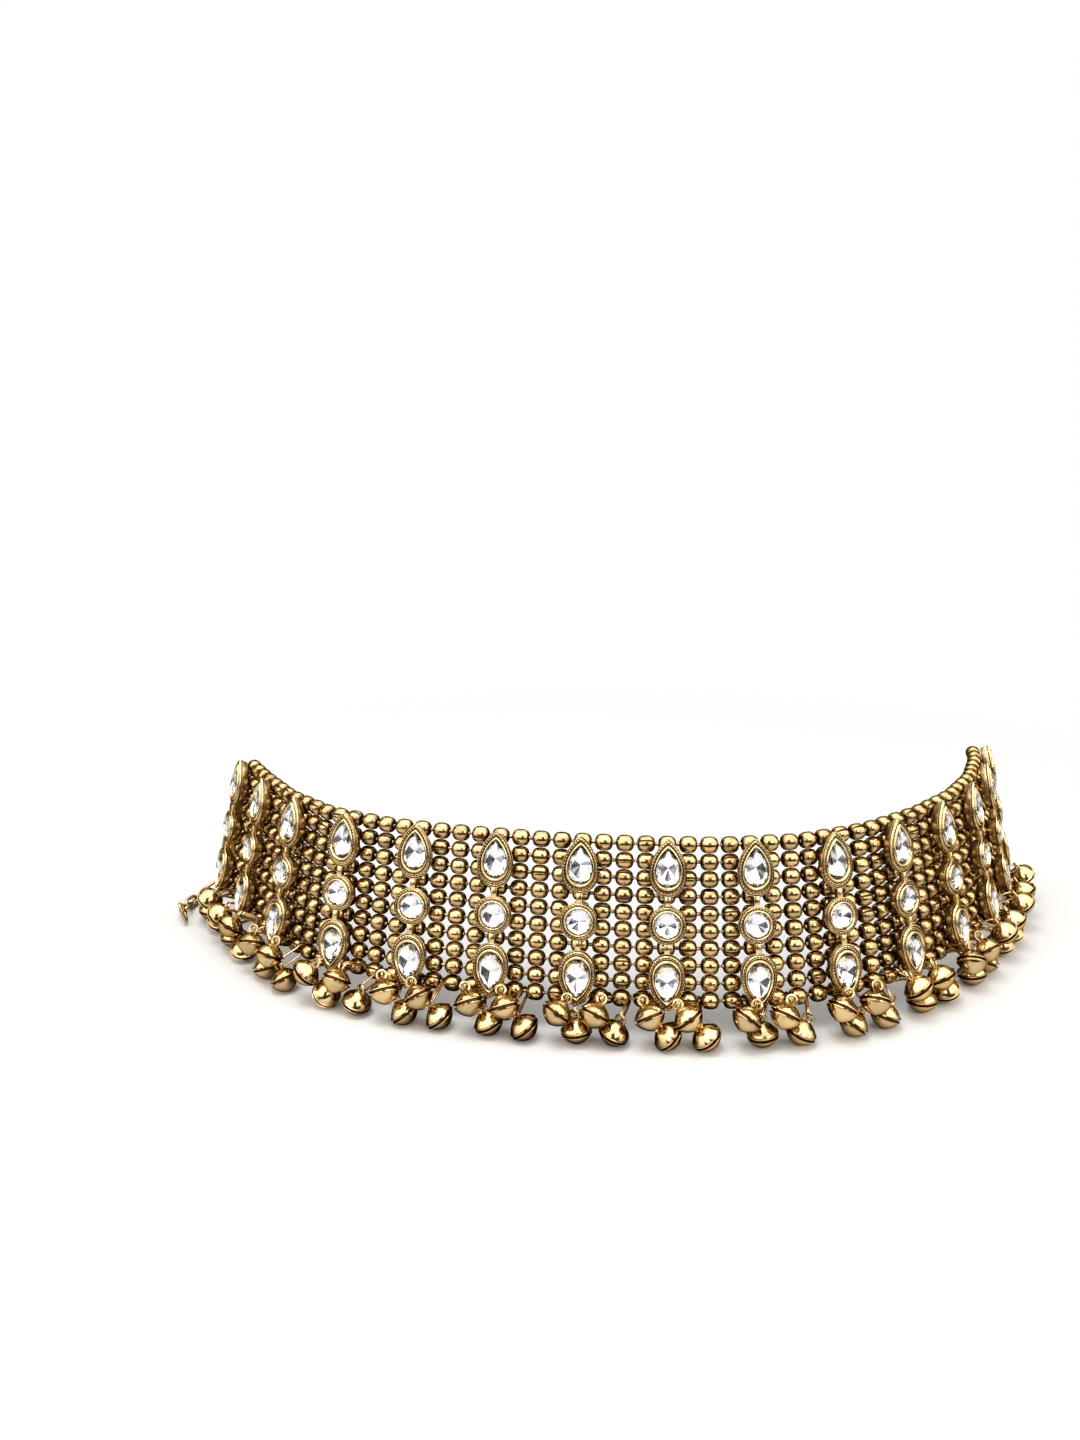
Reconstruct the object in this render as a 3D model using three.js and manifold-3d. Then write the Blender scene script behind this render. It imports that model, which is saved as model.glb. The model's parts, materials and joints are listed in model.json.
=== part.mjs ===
// Ghungroo anklet: a band of ball-chain rows with jewelled settings and a fringe of slit bells,
// standing open in an arc on its bells. Millimetres, +Z up, the front of the band toward -Y.
import * as THREE from 'three';
import { mergeVertices } from 'three/addons/utils/BufferGeometryUtils.js';
import Module from 'manifold-3d';

const wasm = await Module();
wasm.setup();

// Ball chain
const ballDiameter = 3.2;
const ballPitch = 4.1;
const pinDiameter = 0.9;
const rowPitch = 3.3;
const rowCount = 10;
const rowContactWidth = 1.5;
const rowContactDepth = 1.0;
const runningGap = 0.3;

// Band: its lean in toward the ankle, and how far each stone column turns from its left neighbour
const leanDegrees = 14;
const middleHeadingDegrees = -6;
const turnDegrees = [3, 12, 18, 11, 4, 4, 5, 10, 16, 13, 9, 10, 10, 9];
const ballsPerStone = 4;

// Jewelled settings
const pearLength = 11;
const pearWidth = 7.1;
const roundWidth = 7.3;
const stoneSpacing = 10.8;
const cupDepth = 1.9;
const cupFlare = 0.35;
const bezelHeight = 0.35;
const bezelWidth = 0.95;
const stoneHeight = 0.9;
const linkBarWidth = 1.6;

// Outlines of the cups as shares of half their width and of their length, from the tip or the top
const pearSideShares = [[0.5, 0.24], [1, 0.6], [0.8, 0.88]];
const roundSideShares = [[0.77, 0.18], [1, 0.5], [0.77, 0.82]];

// Slit bells and the rings they hang by
const bellDiameter = 5.8;
const bellHeight = 5.2;
const bellNeck = 0.6;
const slitWidth = 0.7;
const slitDepth = 0.8;
const bellClearance = 0.3;
const ringLength = 5.6;
const ringWidth = 2.4;
const ringWire = 0.65;
const bottomRowHeight = 7.2;
const highBellRise = 4.4;

// The lower dome of a bell, as shares of its radius and of its half height
const domeRingShares = { wide: 0.68, deep: 0.66 };

// How a bell leans: shares of its neck-to-middle length that it goes outward, low ones and high ones,
// and the share of its way across the unit that its own tilt makes up, the ring doing the rest
const lowOutShares = [-0.06, 0.05, -0.1, 0.02, -0.04, 0.08, -0.02];
const highOutShares = [0.5, 0.55, 0.47, 0.52, 0.49];
const tiltAcrossShare = 0.47;
const combSides = [-1, -1, 1, -1, 1, 1, -1, 1, -1, -1, 1, -1, 1, 1, 1];

// End plates, chain, hook and catch ring
const plateThickness = 0.8;
const plateReach = 8.4;
const plateNoseWidth = 4.4;
const plateHole = 2.3;
const chainLinkCount = 10;
const chainLinkLength = 5.4;
const chainLinkWidth = 3.4;
const chainWire = 0.9;
const hookWire = 0.9;
const hookLength = 5.2;
const hookWidth = 5.2;
const hookEyeWidth = 3.3;
const catchRingDiameter = 5;
const catchWire = 0.9;

// Route of the chain from the plate: back along the band, out from it, and up, as shares of the
// chain's length and of the plate's height over the floor
const chainRouteShares = [[0, 0, 1], [0.03, 0.06, 0.5], [0.05, 0.13, 0.12], [0.02, 0.27, 0], [-0.12, 0.42, 0.006], [-0.5, 0.5, 0.095]];

const ballRadius = ballDiameter / 2;
const pinRadius = pinDiameter / 2;
const stoneColumns = turnDegrees.length + 1;
const middleColumn = Math.floor(stoneColumns / 2);
const lean = THREE.MathUtils.degToRad(leanDegrees);
const bandTop = (rowCount - 1) / 2 * rowPitch;
const capHeight = (rowPitch - runningGap) / 2;
const cupBack = -ballRadius - runningGap;
const bellSides = 6;
const firstColumn = -(ballsPerStone - 2) / 2;
const lastColumn = ballsPerStone / 2;

const bandGold = new THREE.MeshStandardMaterial({ color: 0xb08c50, roughness: 0.38, metalness: 1 });
const bellGold = new THREE.MeshStandardMaterial({ color: 0xcaa35c, roughness: 0.22, metalness: 1 });
const settingGold = new THREE.MeshStandardMaterial({ color: 0xbd9a5c, roughness: 0.35, metalness: 1 });
const chainGold = new THREE.MeshStandardMaterial({ color: 0xa8874c, roughness: 0.4, metalness: 1 });

// A closed surface gathered face by face from shared corner points.
class Surface {
  constructor() {
    this.points = [];
    this.faces = [];
  }

  point(x, y, z) {
    this.points.push(x, y, z);
    return this.points.length / 3 - 1;
  }

  place(id) {
    return new THREE.Vector3().fromArray(this.points, 3 * id);
  }

  triangle(a, b, c) {
    this.faces.push(a, b, c);
  }

  quad(a, b, c, d) {
    this.triangle(a, b, c);
    this.triangle(a, c, d);
  }

  band(here, next) {
    here.forEach((corner, i) => {
      const j = (i + 1) % here.length;
      this.quad(here[j], corner, next[i], next[j]);
    });
  }

  fan(centre, loop) {
    loop.forEach((corner, i) => this.triangle(centre, corner, loop[(i + 1) % loop.length]));
  }

  // Faces between an outer and an inner loop, both anticlockwise and both given as [corner, angle]
  stitch(outer, inner) {
    const at = (loop, i) => loop[i % loop.length][0];
    const angle = (loop, i) => loop[i % loop.length][1] + 2 * Math.PI * Math.floor(i / loop.length);
    let i = 0;
    let j = 0;
    while (i < outer.length || j < inner.length) {
      const outerMiddle = angle(outer, i) + angle(outer, i + 1);
      const innerMiddle = angle(inner, j) + angle(inner, j + 1);
      if (j === inner.length || (i < outer.length && outerMiddle < innerMiddle)) {
        this.triangle(at(outer, i + 1), at(outer, i), at(inner, j));
        i += 1;
      } else {
        this.triangle(at(inner, j), at(inner, j + 1), at(outer, i));
        j += 1;
      }
    }
  }

  geometry() {
    const geometry = new THREE.BufferGeometry();
    geometry.setAttribute('position', new THREE.Float32BufferAttribute(this.points, 3));
    geometry.setIndex(this.faces);
    return geometry;
  }
}

// Turns a closed geometry into a solid for joins: shared corners merged, collapsed faces left out.
function toSolid(geometry) {
  const bare = geometry.clone();
  bare.deleteAttribute('normal');
  bare.deleteAttribute('uv');
  const merged = mergeVertices(bare);
  const corners = merged.index.array;
  const kept = [];
  for (let i = 0; i < corners.length; i += 3) {
    const [a, b, c] = corners.slice(i, i + 3);
    if (a !== b && b !== c && c !== a) {
      kept.push(a, b, c);
    }
  }
  return new wasm.Manifold(new wasm.Mesh({
    numProp: 3,
    vertProperties: merged.attributes.position.array,
    triVerts: new Uint32Array(kept),
  }));
}

function joined(geometries) {
  const mesh = geometries.map(toSolid).reduce((whole, next) => whole.add(next)).getMesh();
  const geometry = new THREE.BufferGeometry();
  geometry.setAttribute('position', new THREE.BufferAttribute(mesh.vertProperties, mesh.numProp));
  geometry.setIndex(new THREE.BufferAttribute(mesh.triVerts, 1));
  return geometry;
}

// A round ring of wire drawn out into an oval: the two halves move apart along X, the wire stays round.
function ovalRing(length, width, wire, segments, sides) {
  const ring = new THREE.TorusGeometry((width - wire) / 2, wire / 2, sides, segments);
  if (segments % 4 === 0) {
    ring.rotateZ(Math.PI / segments);
  }
  const points = ring.attributes.position;
  for (let i = 0; i < points.count; i += 1) {
    points.setX(i, points.getX(i) + Math.sign(points.getX(i)) * (length - width) / 2);
  }
  return ring;
}

// Moves a geometry so that its X, Y and Z run along the given directions and its origin lands on a place.
function placed(geometry, xAxis, yAxis, zAxis, place) {
  const matrix = new THREE.Matrix4().makeBasis(xAxis, yAxis, zAxis).setPosition(place);
  return geometry.applyMatrix4(matrix);
}

// Headings of the stone columns, and the slant of the lines on which neighbouring columns fold
const turns = turnDegrees.map((turn) => THREE.MathUtils.degToRad(turn));
const turnedFromFirst = [0];
turns.forEach((turn) => turnedFromFirst.push(turnedFromFirst.at(-1) + turn));
const middleHeading = THREE.MathUtils.degToRad(middleHeadingDegrees);
const headings = turnedFromFirst.map((turned) => middleHeading + turned - turnedFromFirst[middleColumn]);
const foldSlants = turns.map((turn) => Math.tan(turn / 2) * Math.sin(lean));
const leftReach = (0.5 - firstColumn) * ballPitch;
const rightReach = (0.5 + lastColumn) * ballPitch;

// Where a column of the chain lies across its unit at a height. Column 0 is behind the stones, and
// the rows open out like a fan toward the bells.
function across(unit, column, height) {
  if (column < 0) {
    const slant = unit > 0 ? foldSlants[unit - 1] : 0;
    return column * ballPitch * (leftReach - height * slant) / leftReach;
  }
  const slant = unit < stoneColumns - 1 ? foldSlants[unit] : 0;
  return column * ballPitch * (rightReach - height * slant) / rightReach;
}

// A row stops short of the fold at either end of its unit
function rowStart(unit, height) {
  return across(unit, chainColumns(unit)[0] - 0.5, height) + runningGap / 2;
}

function rowEnd(unit, height) {
  return across(unit, chainColumns(unit).at(-1) + 0.5, height) - runningGap / 2;
}

function chainColumns(unit) {
  const start = unit > 0 ? firstColumn : 0;
  const end = unit < stoneColumns - 1 ? lastColumn : 0;
  return Array.from({ length: end - start + 1 }, (_, i) => start + i);
}

// Ball-chain rows: each ball is a faceted bead that runs into the pins beside it and touches the rows
// above and below, so that the net keeps its diamond gaps. Behind the stones the chain is a plain pin.
function addPin(surface, x, z) {
  return {
    top: surface.point(x, -pinRadius, z + pinRadius),
    low: surface.point(x, -pinRadius, z - pinRadius),
    back: surface.point(x, pinRadius, z),
  };
}

function addContact(surface, x, z) {
  return {
    left: surface.point(x - rowContactWidth / 2, -rowContactDepth / 2, z),
    right: surface.point(x + rowContactWidth / 2, -rowContactDepth / 2, z),
    back: surface.point(x, rowContactDepth / 2, z),
  };
}

function addBall(surface, x, z, west, east, north, south) {
  const front = surface.point(x, -ballRadius, z);
  const back = surface.point(x, ballRadius, z);
  const frontLoop = [north.right, north.left, west.top, west.low, south.left, south.right, east.low, east.top];
  surface.fan(front, frontLoop);
  surface.fan(back, [north.back, east.back, south.back, west.back]);
  surface.quad(north.right, east.top, east.back, north.back);
  surface.quad(east.low, south.right, south.back, east.back);
  surface.quad(south.left, west.low, west.back, south.back);
  surface.quad(west.top, north.left, north.back, west.back);
}

function addPlainPin(surface, west, east) {
  surface.quad(west.top, west.low, east.low, east.top);
  surface.quad(west.low, west.back, east.back, east.low);
  surface.quad(west.back, west.top, east.top, east.back);
}

// A free top or bottom of a ball stays short of the next row
function addFreeTop(surface, x, z) {
  const top = addContact(surface, x, z + capHeight);
  surface.triangle(top.left, top.right, top.back);
  return top;
}

function addFreeBottom(surface, x, z) {
  const bottom = addContact(surface, x, z - capHeight);
  surface.triangle(bottom.right, bottom.left, bottom.back);
  return bottom;
}

function beadNet(unit) {
  const surface = new Surface();
  const columns = chainColumns(unit);
  let above = columns.map(() => null);
  for (let row = 0; row < rowCount - 1; row += 1) {
    const z = bandTop - row * rowPitch;
    const halfway = z - rowPitch / 2;
    let west = addPin(surface, rowStart(unit, z), z);
    surface.triangle(west.low, west.top, west.back);
    above = columns.map((column, i) => {
      const x = across(unit, column, z);
      const isLast = i === columns.length - 1;
      const east = addPin(surface, isLast ? rowEnd(unit, z) : across(unit, column + 0.5, z), z);
      const westOfBall = west;
      west = east;
      if (column === 0 && row > 0) {
        addPlainPin(surface, westOfBall, east);
        return null;
      }
      const carriesNext = row < rowCount - 2 && column !== 0;
      const north = above[i] ?? addFreeTop(surface, x, z);
      const south = carriesNext
        ? addContact(surface, across(unit, column, halfway), halfway)
        : addFreeBottom(surface, x, z);
      addBall(surface, x, z, westOfBall, east, north, south);
      return carriesNext ? south : null;
    });
    surface.triangle(west.top, west.low, west.back);
  }
  return surface.geometry();
}

// Half an outline from its side shares, closed to a full one that runs clockwise seen from the front
function outline(length, width, sideShares, hasTip) {
  const side = sideShares.map(([widthShare, lengthShare]) => [widthShare * width / 2, (0.5 - lengthShare) * length]);
  const top = hasTip ? [[0, length / 2]] : [[linkBarWidth / 2, length / 2]];
  const right = [...top, ...side, [linkBarWidth / 2, -length / 2]];
  const left = right.slice(hasTip ? 1 : 0).reverse().map(([x, z]) => [-x, z]);
  return [...right, ...left];
}

// A cup with its stone: flared wall, sloping bezel and faceted crown. Walls between the listed
// corners are left open for the link bars.
function cup(surface, corners, middle, openEdges) {
  const extent = Math.max(...corners.map(([x]) => x));
  const loop = (inset, y) => corners.map(([x, z]) => {
    const share = 1 - inset / extent;
    return surface.point(x * share, y, middle + z * share);
  });
  const rimFront = cupBack - cupDepth;
  const back = loop(cupFlare, cupBack);
  const rim = loop(0, rimFront);
  const girdle = loop(bezelWidth, rimFront - bezelHeight);
  const crown = surface.point(0, rimFront - bezelHeight - stoneHeight, middle);
  for (let i = 1; i < back.length - 1; i += 1) {
    surface.triangle(back[0], back[i], back[i + 1]);
  }
  corners.forEach((_, i) => {
    const next = (i + 1) % corners.length;
    if (!openEdges.includes(i)) {
      surface.quad(back[next], back[i], rim[i], rim[next]);
    }
    surface.quad(rim[next], rim[i], girdle[i], girdle[next]);
    surface.triangle(crown, girdle[next], girdle[i]);
  });
  return (edge) => {
    const next = (edge + 1) % corners.length;
    return { backStart: back[edge], backEnd: back[next], rimStart: rim[edge], rimEnd: rim[next] };
  };
}

function linkBar(surface, upper, lower) {
  surface.quad(upper.backEnd, upper.backStart, lower.backEnd, lower.backStart);
  surface.quad(upper.backStart, upper.rimStart, lower.rimEnd, lower.backEnd);
  surface.quad(upper.rimStart, upper.rimEnd, lower.rimStart, lower.rimEnd);
  surface.quad(upper.rimEnd, upper.backEnd, lower.backStart, lower.rimStart);
}

// Pear stone pointing up, round stone and pear stone pointing down, on one column
function settingColumn() {
  const surface = new Surface();
  const pearUp = outline(pearLength, pearWidth, pearSideShares, true);
  const round = outline(roundWidth, roundWidth, roundSideShares, false);
  const pearDown = pearUp.map(([x, z]) => [x, -z]).reverse();
  const pearBottom = (pearUp.length - 1) / 2;
  const roundBottom = round.length / 2 - 1;
  const roundTop = round.length - 1;
  const pearDownTop = pearDown.length - 1 - pearBottom - 1;
  const top = cup(surface, pearUp, stoneSpacing, [pearBottom]);
  const middle = cup(surface, round, 0, [roundTop, roundBottom]);
  const bottom = cup(surface, pearDown, -stoneSpacing, [pearDownTop]);
  linkBar(surface, top(pearBottom), middle(roundTop));
  linkBar(surface, middle(roundBottom), bottom(pearDownTop));
  return surface.geometry();
}

// The low bells stand on the floor, below the bottom row, and the high ones lie on top of them.
const bellRadius = bellDiameter / 2;
const bellHang = bellNeck + bellHeight / 2;
const bandMiddleHeight = bottomRowHeight + bandTop * Math.cos(lean);

// Level and upward directions as they lie in a unit that leans with the band
const outward = new THREE.Vector3(0, -Math.cos(lean), -Math.sin(lean));
const upward = new THREE.Vector3(0, -Math.sin(lean), Math.cos(lean));
const sideways = new THREE.Vector3(1, 0, 0);

// A direction with given parts aside and outward, which falls with what is left of its length
function falling(aside, ahead) {
  return new THREE.Vector3()
    .addScaledVector(sideways, aside)
    .addScaledVector(outward, ahead)
    .addScaledVector(upward, -Math.sqrt(1 - aside * aside - ahead * ahead));
}

// Points along a direction, to its upper side and to its side, from a place
function frameAt(place, along, towardTop) {
  const up = towardTop.clone().addScaledVector(along, -towardTop.dot(along)).normalize();
  const right = new THREE.Vector3().crossVectors(up, along);
  const at = (distance, rise, sidestep) => place.clone()
    .addScaledVector(along, distance)
    .addScaledVector(up, rise)
    .addScaledVector(right, sidestep);
  return { up, right, at };
}

// How a bell hangs and how far its neck lies below the pin. A low bell has its lowest point on the
// floor, a high one has its middle a given rise above the middle of a low one.
function bellPose(across, order, isHigh) {
  const outShares = isHigh ? highOutShares : lowOutShares;
  const tiltAside = tiltAcrossShare * across / bellHang;
  const down = falling(tiltAside, outShares[order % outShares.length]);
  const fall = -down.dot(upward);
  const spread = Math.sqrt(1 - fall * fall);
  const onTip = bellHeight / 2 * fall;
  const onDome = bellHeight / 2 * domeRingShares.deep * fall + bellRadius * domeRingShares.wide * spread;
  const middleHeight = isHigh ? bellHeight / 2 + highBellRise : Math.max(onTip, onDome);
  return { down, neckDrop: bottomRowHeight - middleHeight - bellHang * fall };
}

// A bell on its ring, hung on a pin so that the bell's middle comes out where it is wanted across the
// unit. The ring grows from the pin's front and its skewed end is the bell's neck; the bell is two
// domed shells with a slit between their rims.
function addHungBell(surface, pinPlace, west, east, bellAcross, pose) {
  const { down, neckDrop } = pose;
  const aside = bellAcross - pinPlace.x - bellHang * down.dot(sideways);
  const ahead = Math.sqrt(ringLength * ringLength - neckDrop * neckDrop - aside * aside);
  const reach = new THREE.Vector3()
    .addScaledVector(sideways, aside)
    .addScaledVector(outward, ahead)
    .addScaledVector(upward, -neckDrop)
    .normalize();
  const ring = frameAt(pinPlace, reach, upward);
  const corner = (frame, along, rise, sidestep) => surface.point(...frame.at(along, rise, sidestep));
  const endRise = pinRadius;
  const sideRise = ringWidth / 2;
  const middle = ringLength / 2;
  const ringPair = (along, rise) => [
    corner(ring, along, rise, -ringWire / 2),
    corner(ring, along, rise, ringWire / 2),
  ];
  const underside = [
    [west.low, east.low],
    ringPair(middle, -sideRise),
    ringPair(ringLength - endRise, -endRise),
  ];
  const upperSide = [
    ringPair(ringLength + endRise, endRise),
    ringPair(middle, sideRise),
    [west.top, east.top],
  ];
  const outer = [...underside, ...upperSide];
  const inner = [
    corner(ring, pinRadius + ringWire, -endRise / 2, 0),
    corner(ring, middle, ringWire - sideRise, 0),
    corner(ring, ringLength - ringWire - endRise, -endRise / 2, 0),
    corner(ring, ringLength - ringWire, endRise / 2, 0),
    corner(ring, middle, sideRise - ringWire, 0),
    corner(ring, pinRadius + ringWire, endRise / 2, 0),
  ];
  const isOpen = (edge) => edge === underside.length - 1 || edge === outer.length - 1;
  outer.forEach(([leftHere, rightHere], edge) => {
    const next = (edge + 1) % outer.length;
    const [leftNext, rightNext] = outer[next];
    surface.quad(rightNext, rightHere, inner[edge], inner[next]);
    surface.quad(leftHere, leftNext, inner[next], inner[edge]);
    if (!isOpen(edge)) {
      surface.quad(rightHere, rightNext, leftNext, leftHere);
    }
  });
  const neck = ring.at(ringLength, 0, 0);
  const bell = frameAt(neck, down, ring.up.clone().add(reach));
  const rimLoop = (along, radius) => Array.from({ length: bellSides }, (_, i) => {
    const angle = 2 * Math.PI * (i + 0.5) / bellSides;
    return [corner(bell, bellHang + along, radius * Math.sin(angle), radius * Math.cos(angle)), angle];
  });
  const deepRing = rimLoop(bellHeight / 2 * domeRingShares.deep, bellRadius * domeRingShares.wide);
  const farRim = rimLoop(slitWidth / 2, bellRadius);
  const groove = rimLoop(0, bellRadius - slitDepth);
  const nearRim = rimLoop(-slitWidth / 2, bellRadius);
  const corners = (loop) => loop.map(([id]) => id);
  surface.fan(corner(bell, bellHang + bellHeight / 2, 0, 0), corners(deepRing));
  surface.band(corners(deepRing), corners(farRim));
  surface.band(corners(farRim), corners(groove));
  surface.band(corners(groove), corners(nearRim));
  const turnAbout = (id) => {
    const offset = surface.place(id).sub(neck);
    return THREE.MathUtils.euclideanModulo(Math.atan2(offset.dot(bell.up), offset.dot(bell.right)), 2 * Math.PI);
  };
  const neckCorners = [...underside.at(-1), ...upperSide[0]];
  surface.stitch(nearRim, neckCorners.map((id) => [id, turnAbout(id)]).sort((a, b) => a[1] - b[1]));
}

// The gaps between balls that carry the rings of a unit. At a fold the ring sits on the pin's stub.
function ringPlaces(unit, height) {
  const columns = chainColumns(unit);
  const combSide = combSides[unit % combSides.length];
  return Array.from({ length: ballsPerStone }, (_, i) => {
    const gap = firstColumn + i - combSide / 2;
    const isInside = gap > columns[0] && gap < columns.at(-1);
    const isLeftFold = unit > 0 && gap < firstColumn;
    const isRightFold = unit < stoneColumns - 1 && gap > lastColumn;
    if (isLeftFold) {
      return { gap, x: rowStart(unit, height) + ringWire / 2, order: i };
    }
    if (isRightFold) {
      return { gap, x: rowEnd(unit, height) - ringWire / 2, order: i };
    }
    return isInside ? { gap, x: across(unit, gap, height), order: i } : null;
  }).filter(Boolean);
}

// Bottom row of the chain with the bells of its unit, high and low in turn, spread evenly between
// the folds and so far from them that the bells of two units pass each other
function bellFringe(unit) {
  const surface = new Surface();
  const z = -bandTop;
  const margin = (bellDiameter + bellClearance) / 2;
  const left = across(unit, firstColumn - 0.5, z) + margin;
  const right = across(unit, lastColumn + 0.5, z) - margin;
  const places = ringPlaces(unit, z);
  const addCollar = (gap) => {
    const ring = places.find((place) => place.gap === gap);
    if (!ring) {
      return null;
    }
    const west = addPin(surface, ring.x - ringWire / 2, z);
    const east = addPin(surface, ring.x + ringWire / 2, z);
    surface.quad(west.low, west.back, east.back, east.low);
    surface.quad(west.back, west.top, east.top, east.back);
    const bellAcross = left + (right - left) * ring.order / (ballsPerStone - 1);
    const isHigh = ring.order % 2 === 0;
    const pose = bellPose(bellAcross - ring.x, unit + ring.order, isHigh);
    addHungBell(surface, new THREE.Vector3(ring.x, 0, z), west, east, bellAcross, pose);
    return { west, east };
  };
  const columns = chainColumns(unit);
  const startCollar = addCollar(columns[0] - 0.5);
  let west = startCollar?.east ?? addPin(surface, rowStart(unit, z), z);
  const startEnd = startCollar?.west ?? west;
  surface.triangle(startEnd.low, startEnd.top, startEnd.back);
  columns.forEach((column, i) => {
    const isLast = i === columns.length - 1;
    const collar = addCollar(column + 0.5);
    const x = across(unit, column, z);
    const east = collar?.west ?? addPin(surface, isLast ? rowEnd(unit, z) : across(unit, column + 0.5, z), z);
    if (column === 0) {
      addPlainPin(surface, west, east);
    } else {
      addBall(surface, x, z, west, east, addFreeTop(surface, x, z), addFreeBottom(surface, x, z));
    }
    west = collar?.east ?? east;
  });
  surface.triangle(west.top, west.low, west.back);
  return surface.geometry();
}

// Flat end plate: a triangle from the ends of the rows to a rounded nose with a hole, out along -X
// on the left side and along +X on the right
const plateEdge = (ballPitch + runningGap) / 2;
const plateTop = bandTop + capHeight;
const plateBottom = -bandTop + rowPitch - capHeight;
const holePlace = (side) => new THREE.Vector3(side * (plateEdge + plateReach), 0, (plateTop + plateBottom) / 2);

function endPlate(side) {
  const hole = holePlace(side);
  const face = new THREE.Shape();
  face.moveTo(side * plateEdge, plateBottom);
  face.lineTo(side * plateEdge, plateTop);
  face.absarc(hole.x, hole.z, plateNoseWidth / 2, Math.PI / 2, Math.PI / 2 - side * Math.PI, side > 0);
  face.closePath();
  face.holes.push(new THREE.Path().absarc(hole.x, hole.z, plateHole / 2, 0, 2 * Math.PI));
  const plate = new THREE.ExtrudeGeometry(face, { depth: plateThickness, bevelEnabled: false, curveSegments: 5 });
  return plate.rotateX(Math.PI / 2).translate(0, plateThickness / 2, 0);
}

// How far a ring or link that passes through a hole has its middle from the middle of the hole
const throughPlate = (length, wire) => (plateHole - wire) / 2 - runningGap + (length - wire) / 2;

// Chain from the left plate's hole down to the floor and round the outside of the bells. Every other
// link is turned a quarter about the run of the chain.
const chainPitch = chainLinkLength - 2 * chainWire - runningGap;
const chainLength = chainLinkCount * chainPitch;

function chainRoute(hole, back, out) {
  const restHeight = chainLinkWidth / 2;
  const points = chainRouteShares.map(([backShare, outShare, upShare]) => hole.clone()
    .addScaledVector(back, backShare * chainLength)
    .addScaledVector(out, outShare * chainLength)
    .setZ(restHeight + upShare * (hole.z - restHeight)));
  return new THREE.CatmullRomCurve3(points);
}

function chainFrames(route, plateNormal, start) {
  const total = route.getLength();
  const at = (distance) => route.getPointAt(THREE.MathUtils.clamp(distance / total, 0, 1));
  const frames = [];
  let normal = plateNormal.clone();
  for (let i = 0; i <= chainLinkCount; i += 1) {
    const distance = start + i * chainPitch;
    const along = at(distance + chainPitch / 2).sub(at(distance - chainPitch / 2)).normalize();
    normal = normal.clone().addScaledVector(along, -normal.dot(along)).normalize();
    const binormal = new THREE.Vector3().crossVectors(along, normal);
    const isEven = i % 2 === 0;
    frames.push({
      place: at(distance),
      along,
      wide: isEven ? normal : binormal,
      flat: isEven ? binormal : normal.clone().negate(),
    });
  }
  return frames;
}

// Hook: a soldered eye and a wire bow in a rounded triangle that stops short of the eye
const hookBowShares = [[0.22, 0.12], [0.5, 0.4], [0.86, 0.38], [0.94, 0], [0.84, -0.38], [0.52, -0.34], [0.46, -0.12]];

function hook() {
  const eye = ovalRing(hookEyeWidth, hookEyeWidth, hookWire, 8, 5);
  const bow = new THREE.CatmullRomCurve3(hookBowShares.map(
    ([alongShare, wideShare]) => new THREE.Vector3(alongShare * hookLength, wideShare * hookWidth, 0),
  ));
  const section = new THREE.Shape().absarc(0, 0, hookWire / 2, 0, 2 * Math.PI);
  const wire = new THREE.ExtrudeGeometry(section, { extrudePath: bow, steps: 12, curveSegments: 5 });
  return joined([eye, wire]);
}

// Assembly: a group for each unit of the band, turned to its heading and leaned in
const anklet = new THREE.Group();
const number = (unit) => String(unit + 1).padStart(2, '0');

function add(parent, name, geometry, material) {
  const mesh = new THREE.Mesh(geometry, material);
  mesh.name = name;
  parent.add(mesh);
}

const place = new THREE.Vector3(0, 0, bandMiddleHeight);
const unitGroups = headings.map((heading, unit) => {
  const along = new THREE.Vector3(Math.cos(heading), Math.sin(heading), 0);
  if (unit > 0) {
    place.addScaledVector(along, leftReach);
  }
  const group = new THREE.Group();
  group.position.copy(place);
  group.rotation.set(-lean, 0, heading, 'ZXY');
  place.addScaledVector(along, rightReach);
  anklet.add(group);
  group.updateMatrixWorld();
  return group;
});
unitGroups.forEach((group, unit) => {
  add(group, `bead_panel_${number(unit)}`, beadNet(unit), bandGold);
  add(group, `setting_column_${number(unit)}`, settingColumn(), settingGold);
  add(group, `bell_fringe_${number(unit)}`, bellFringe(unit), bellGold);
});
add(unitGroups[0], 'end_plate_left', endPlate(-1), chainGold);
add(unitGroups.at(-1), 'end_plate_right', endPlate(1), chainGold);

const leftHole = unitGroups[0].localToWorld(holePlace(-1));
const backward = new THREE.Vector3(-Math.cos(headings[0]), -Math.sin(headings[0]), 0);
const outFromFirst = new THREE.Vector3(Math.sin(headings[0]), -Math.cos(headings[0]), 0);
const plateNormal = new THREE.Vector3(0, 1, 0).transformDirection(unitGroups[0].matrixWorld);
const frames = chainFrames(
  chainRoute(leftHole, backward, outFromFirst),
  plateNormal,
  throughPlate(chainLinkLength, chainWire),
);
frames.slice(0, chainLinkCount).forEach((frame, i) => {
  const link = ovalRing(chainLinkLength, chainLinkWidth, chainWire, 8, 4);
  add(anklet, `chain_link_${number(i)}`, placed(link, frame.along, frame.wide, frame.flat, frame.place), chainGold);
});
const hookFrame = frames.at(-1);
const hookPlace = hookFrame.place.clone().addScaledVector(hookFrame.along, (hookEyeWidth - chainLinkLength) / 2);
add(anklet, 'hook', placed(hook(), hookFrame.along, hookFrame.wide, hookFrame.flat, hookPlace), chainGold);

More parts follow.
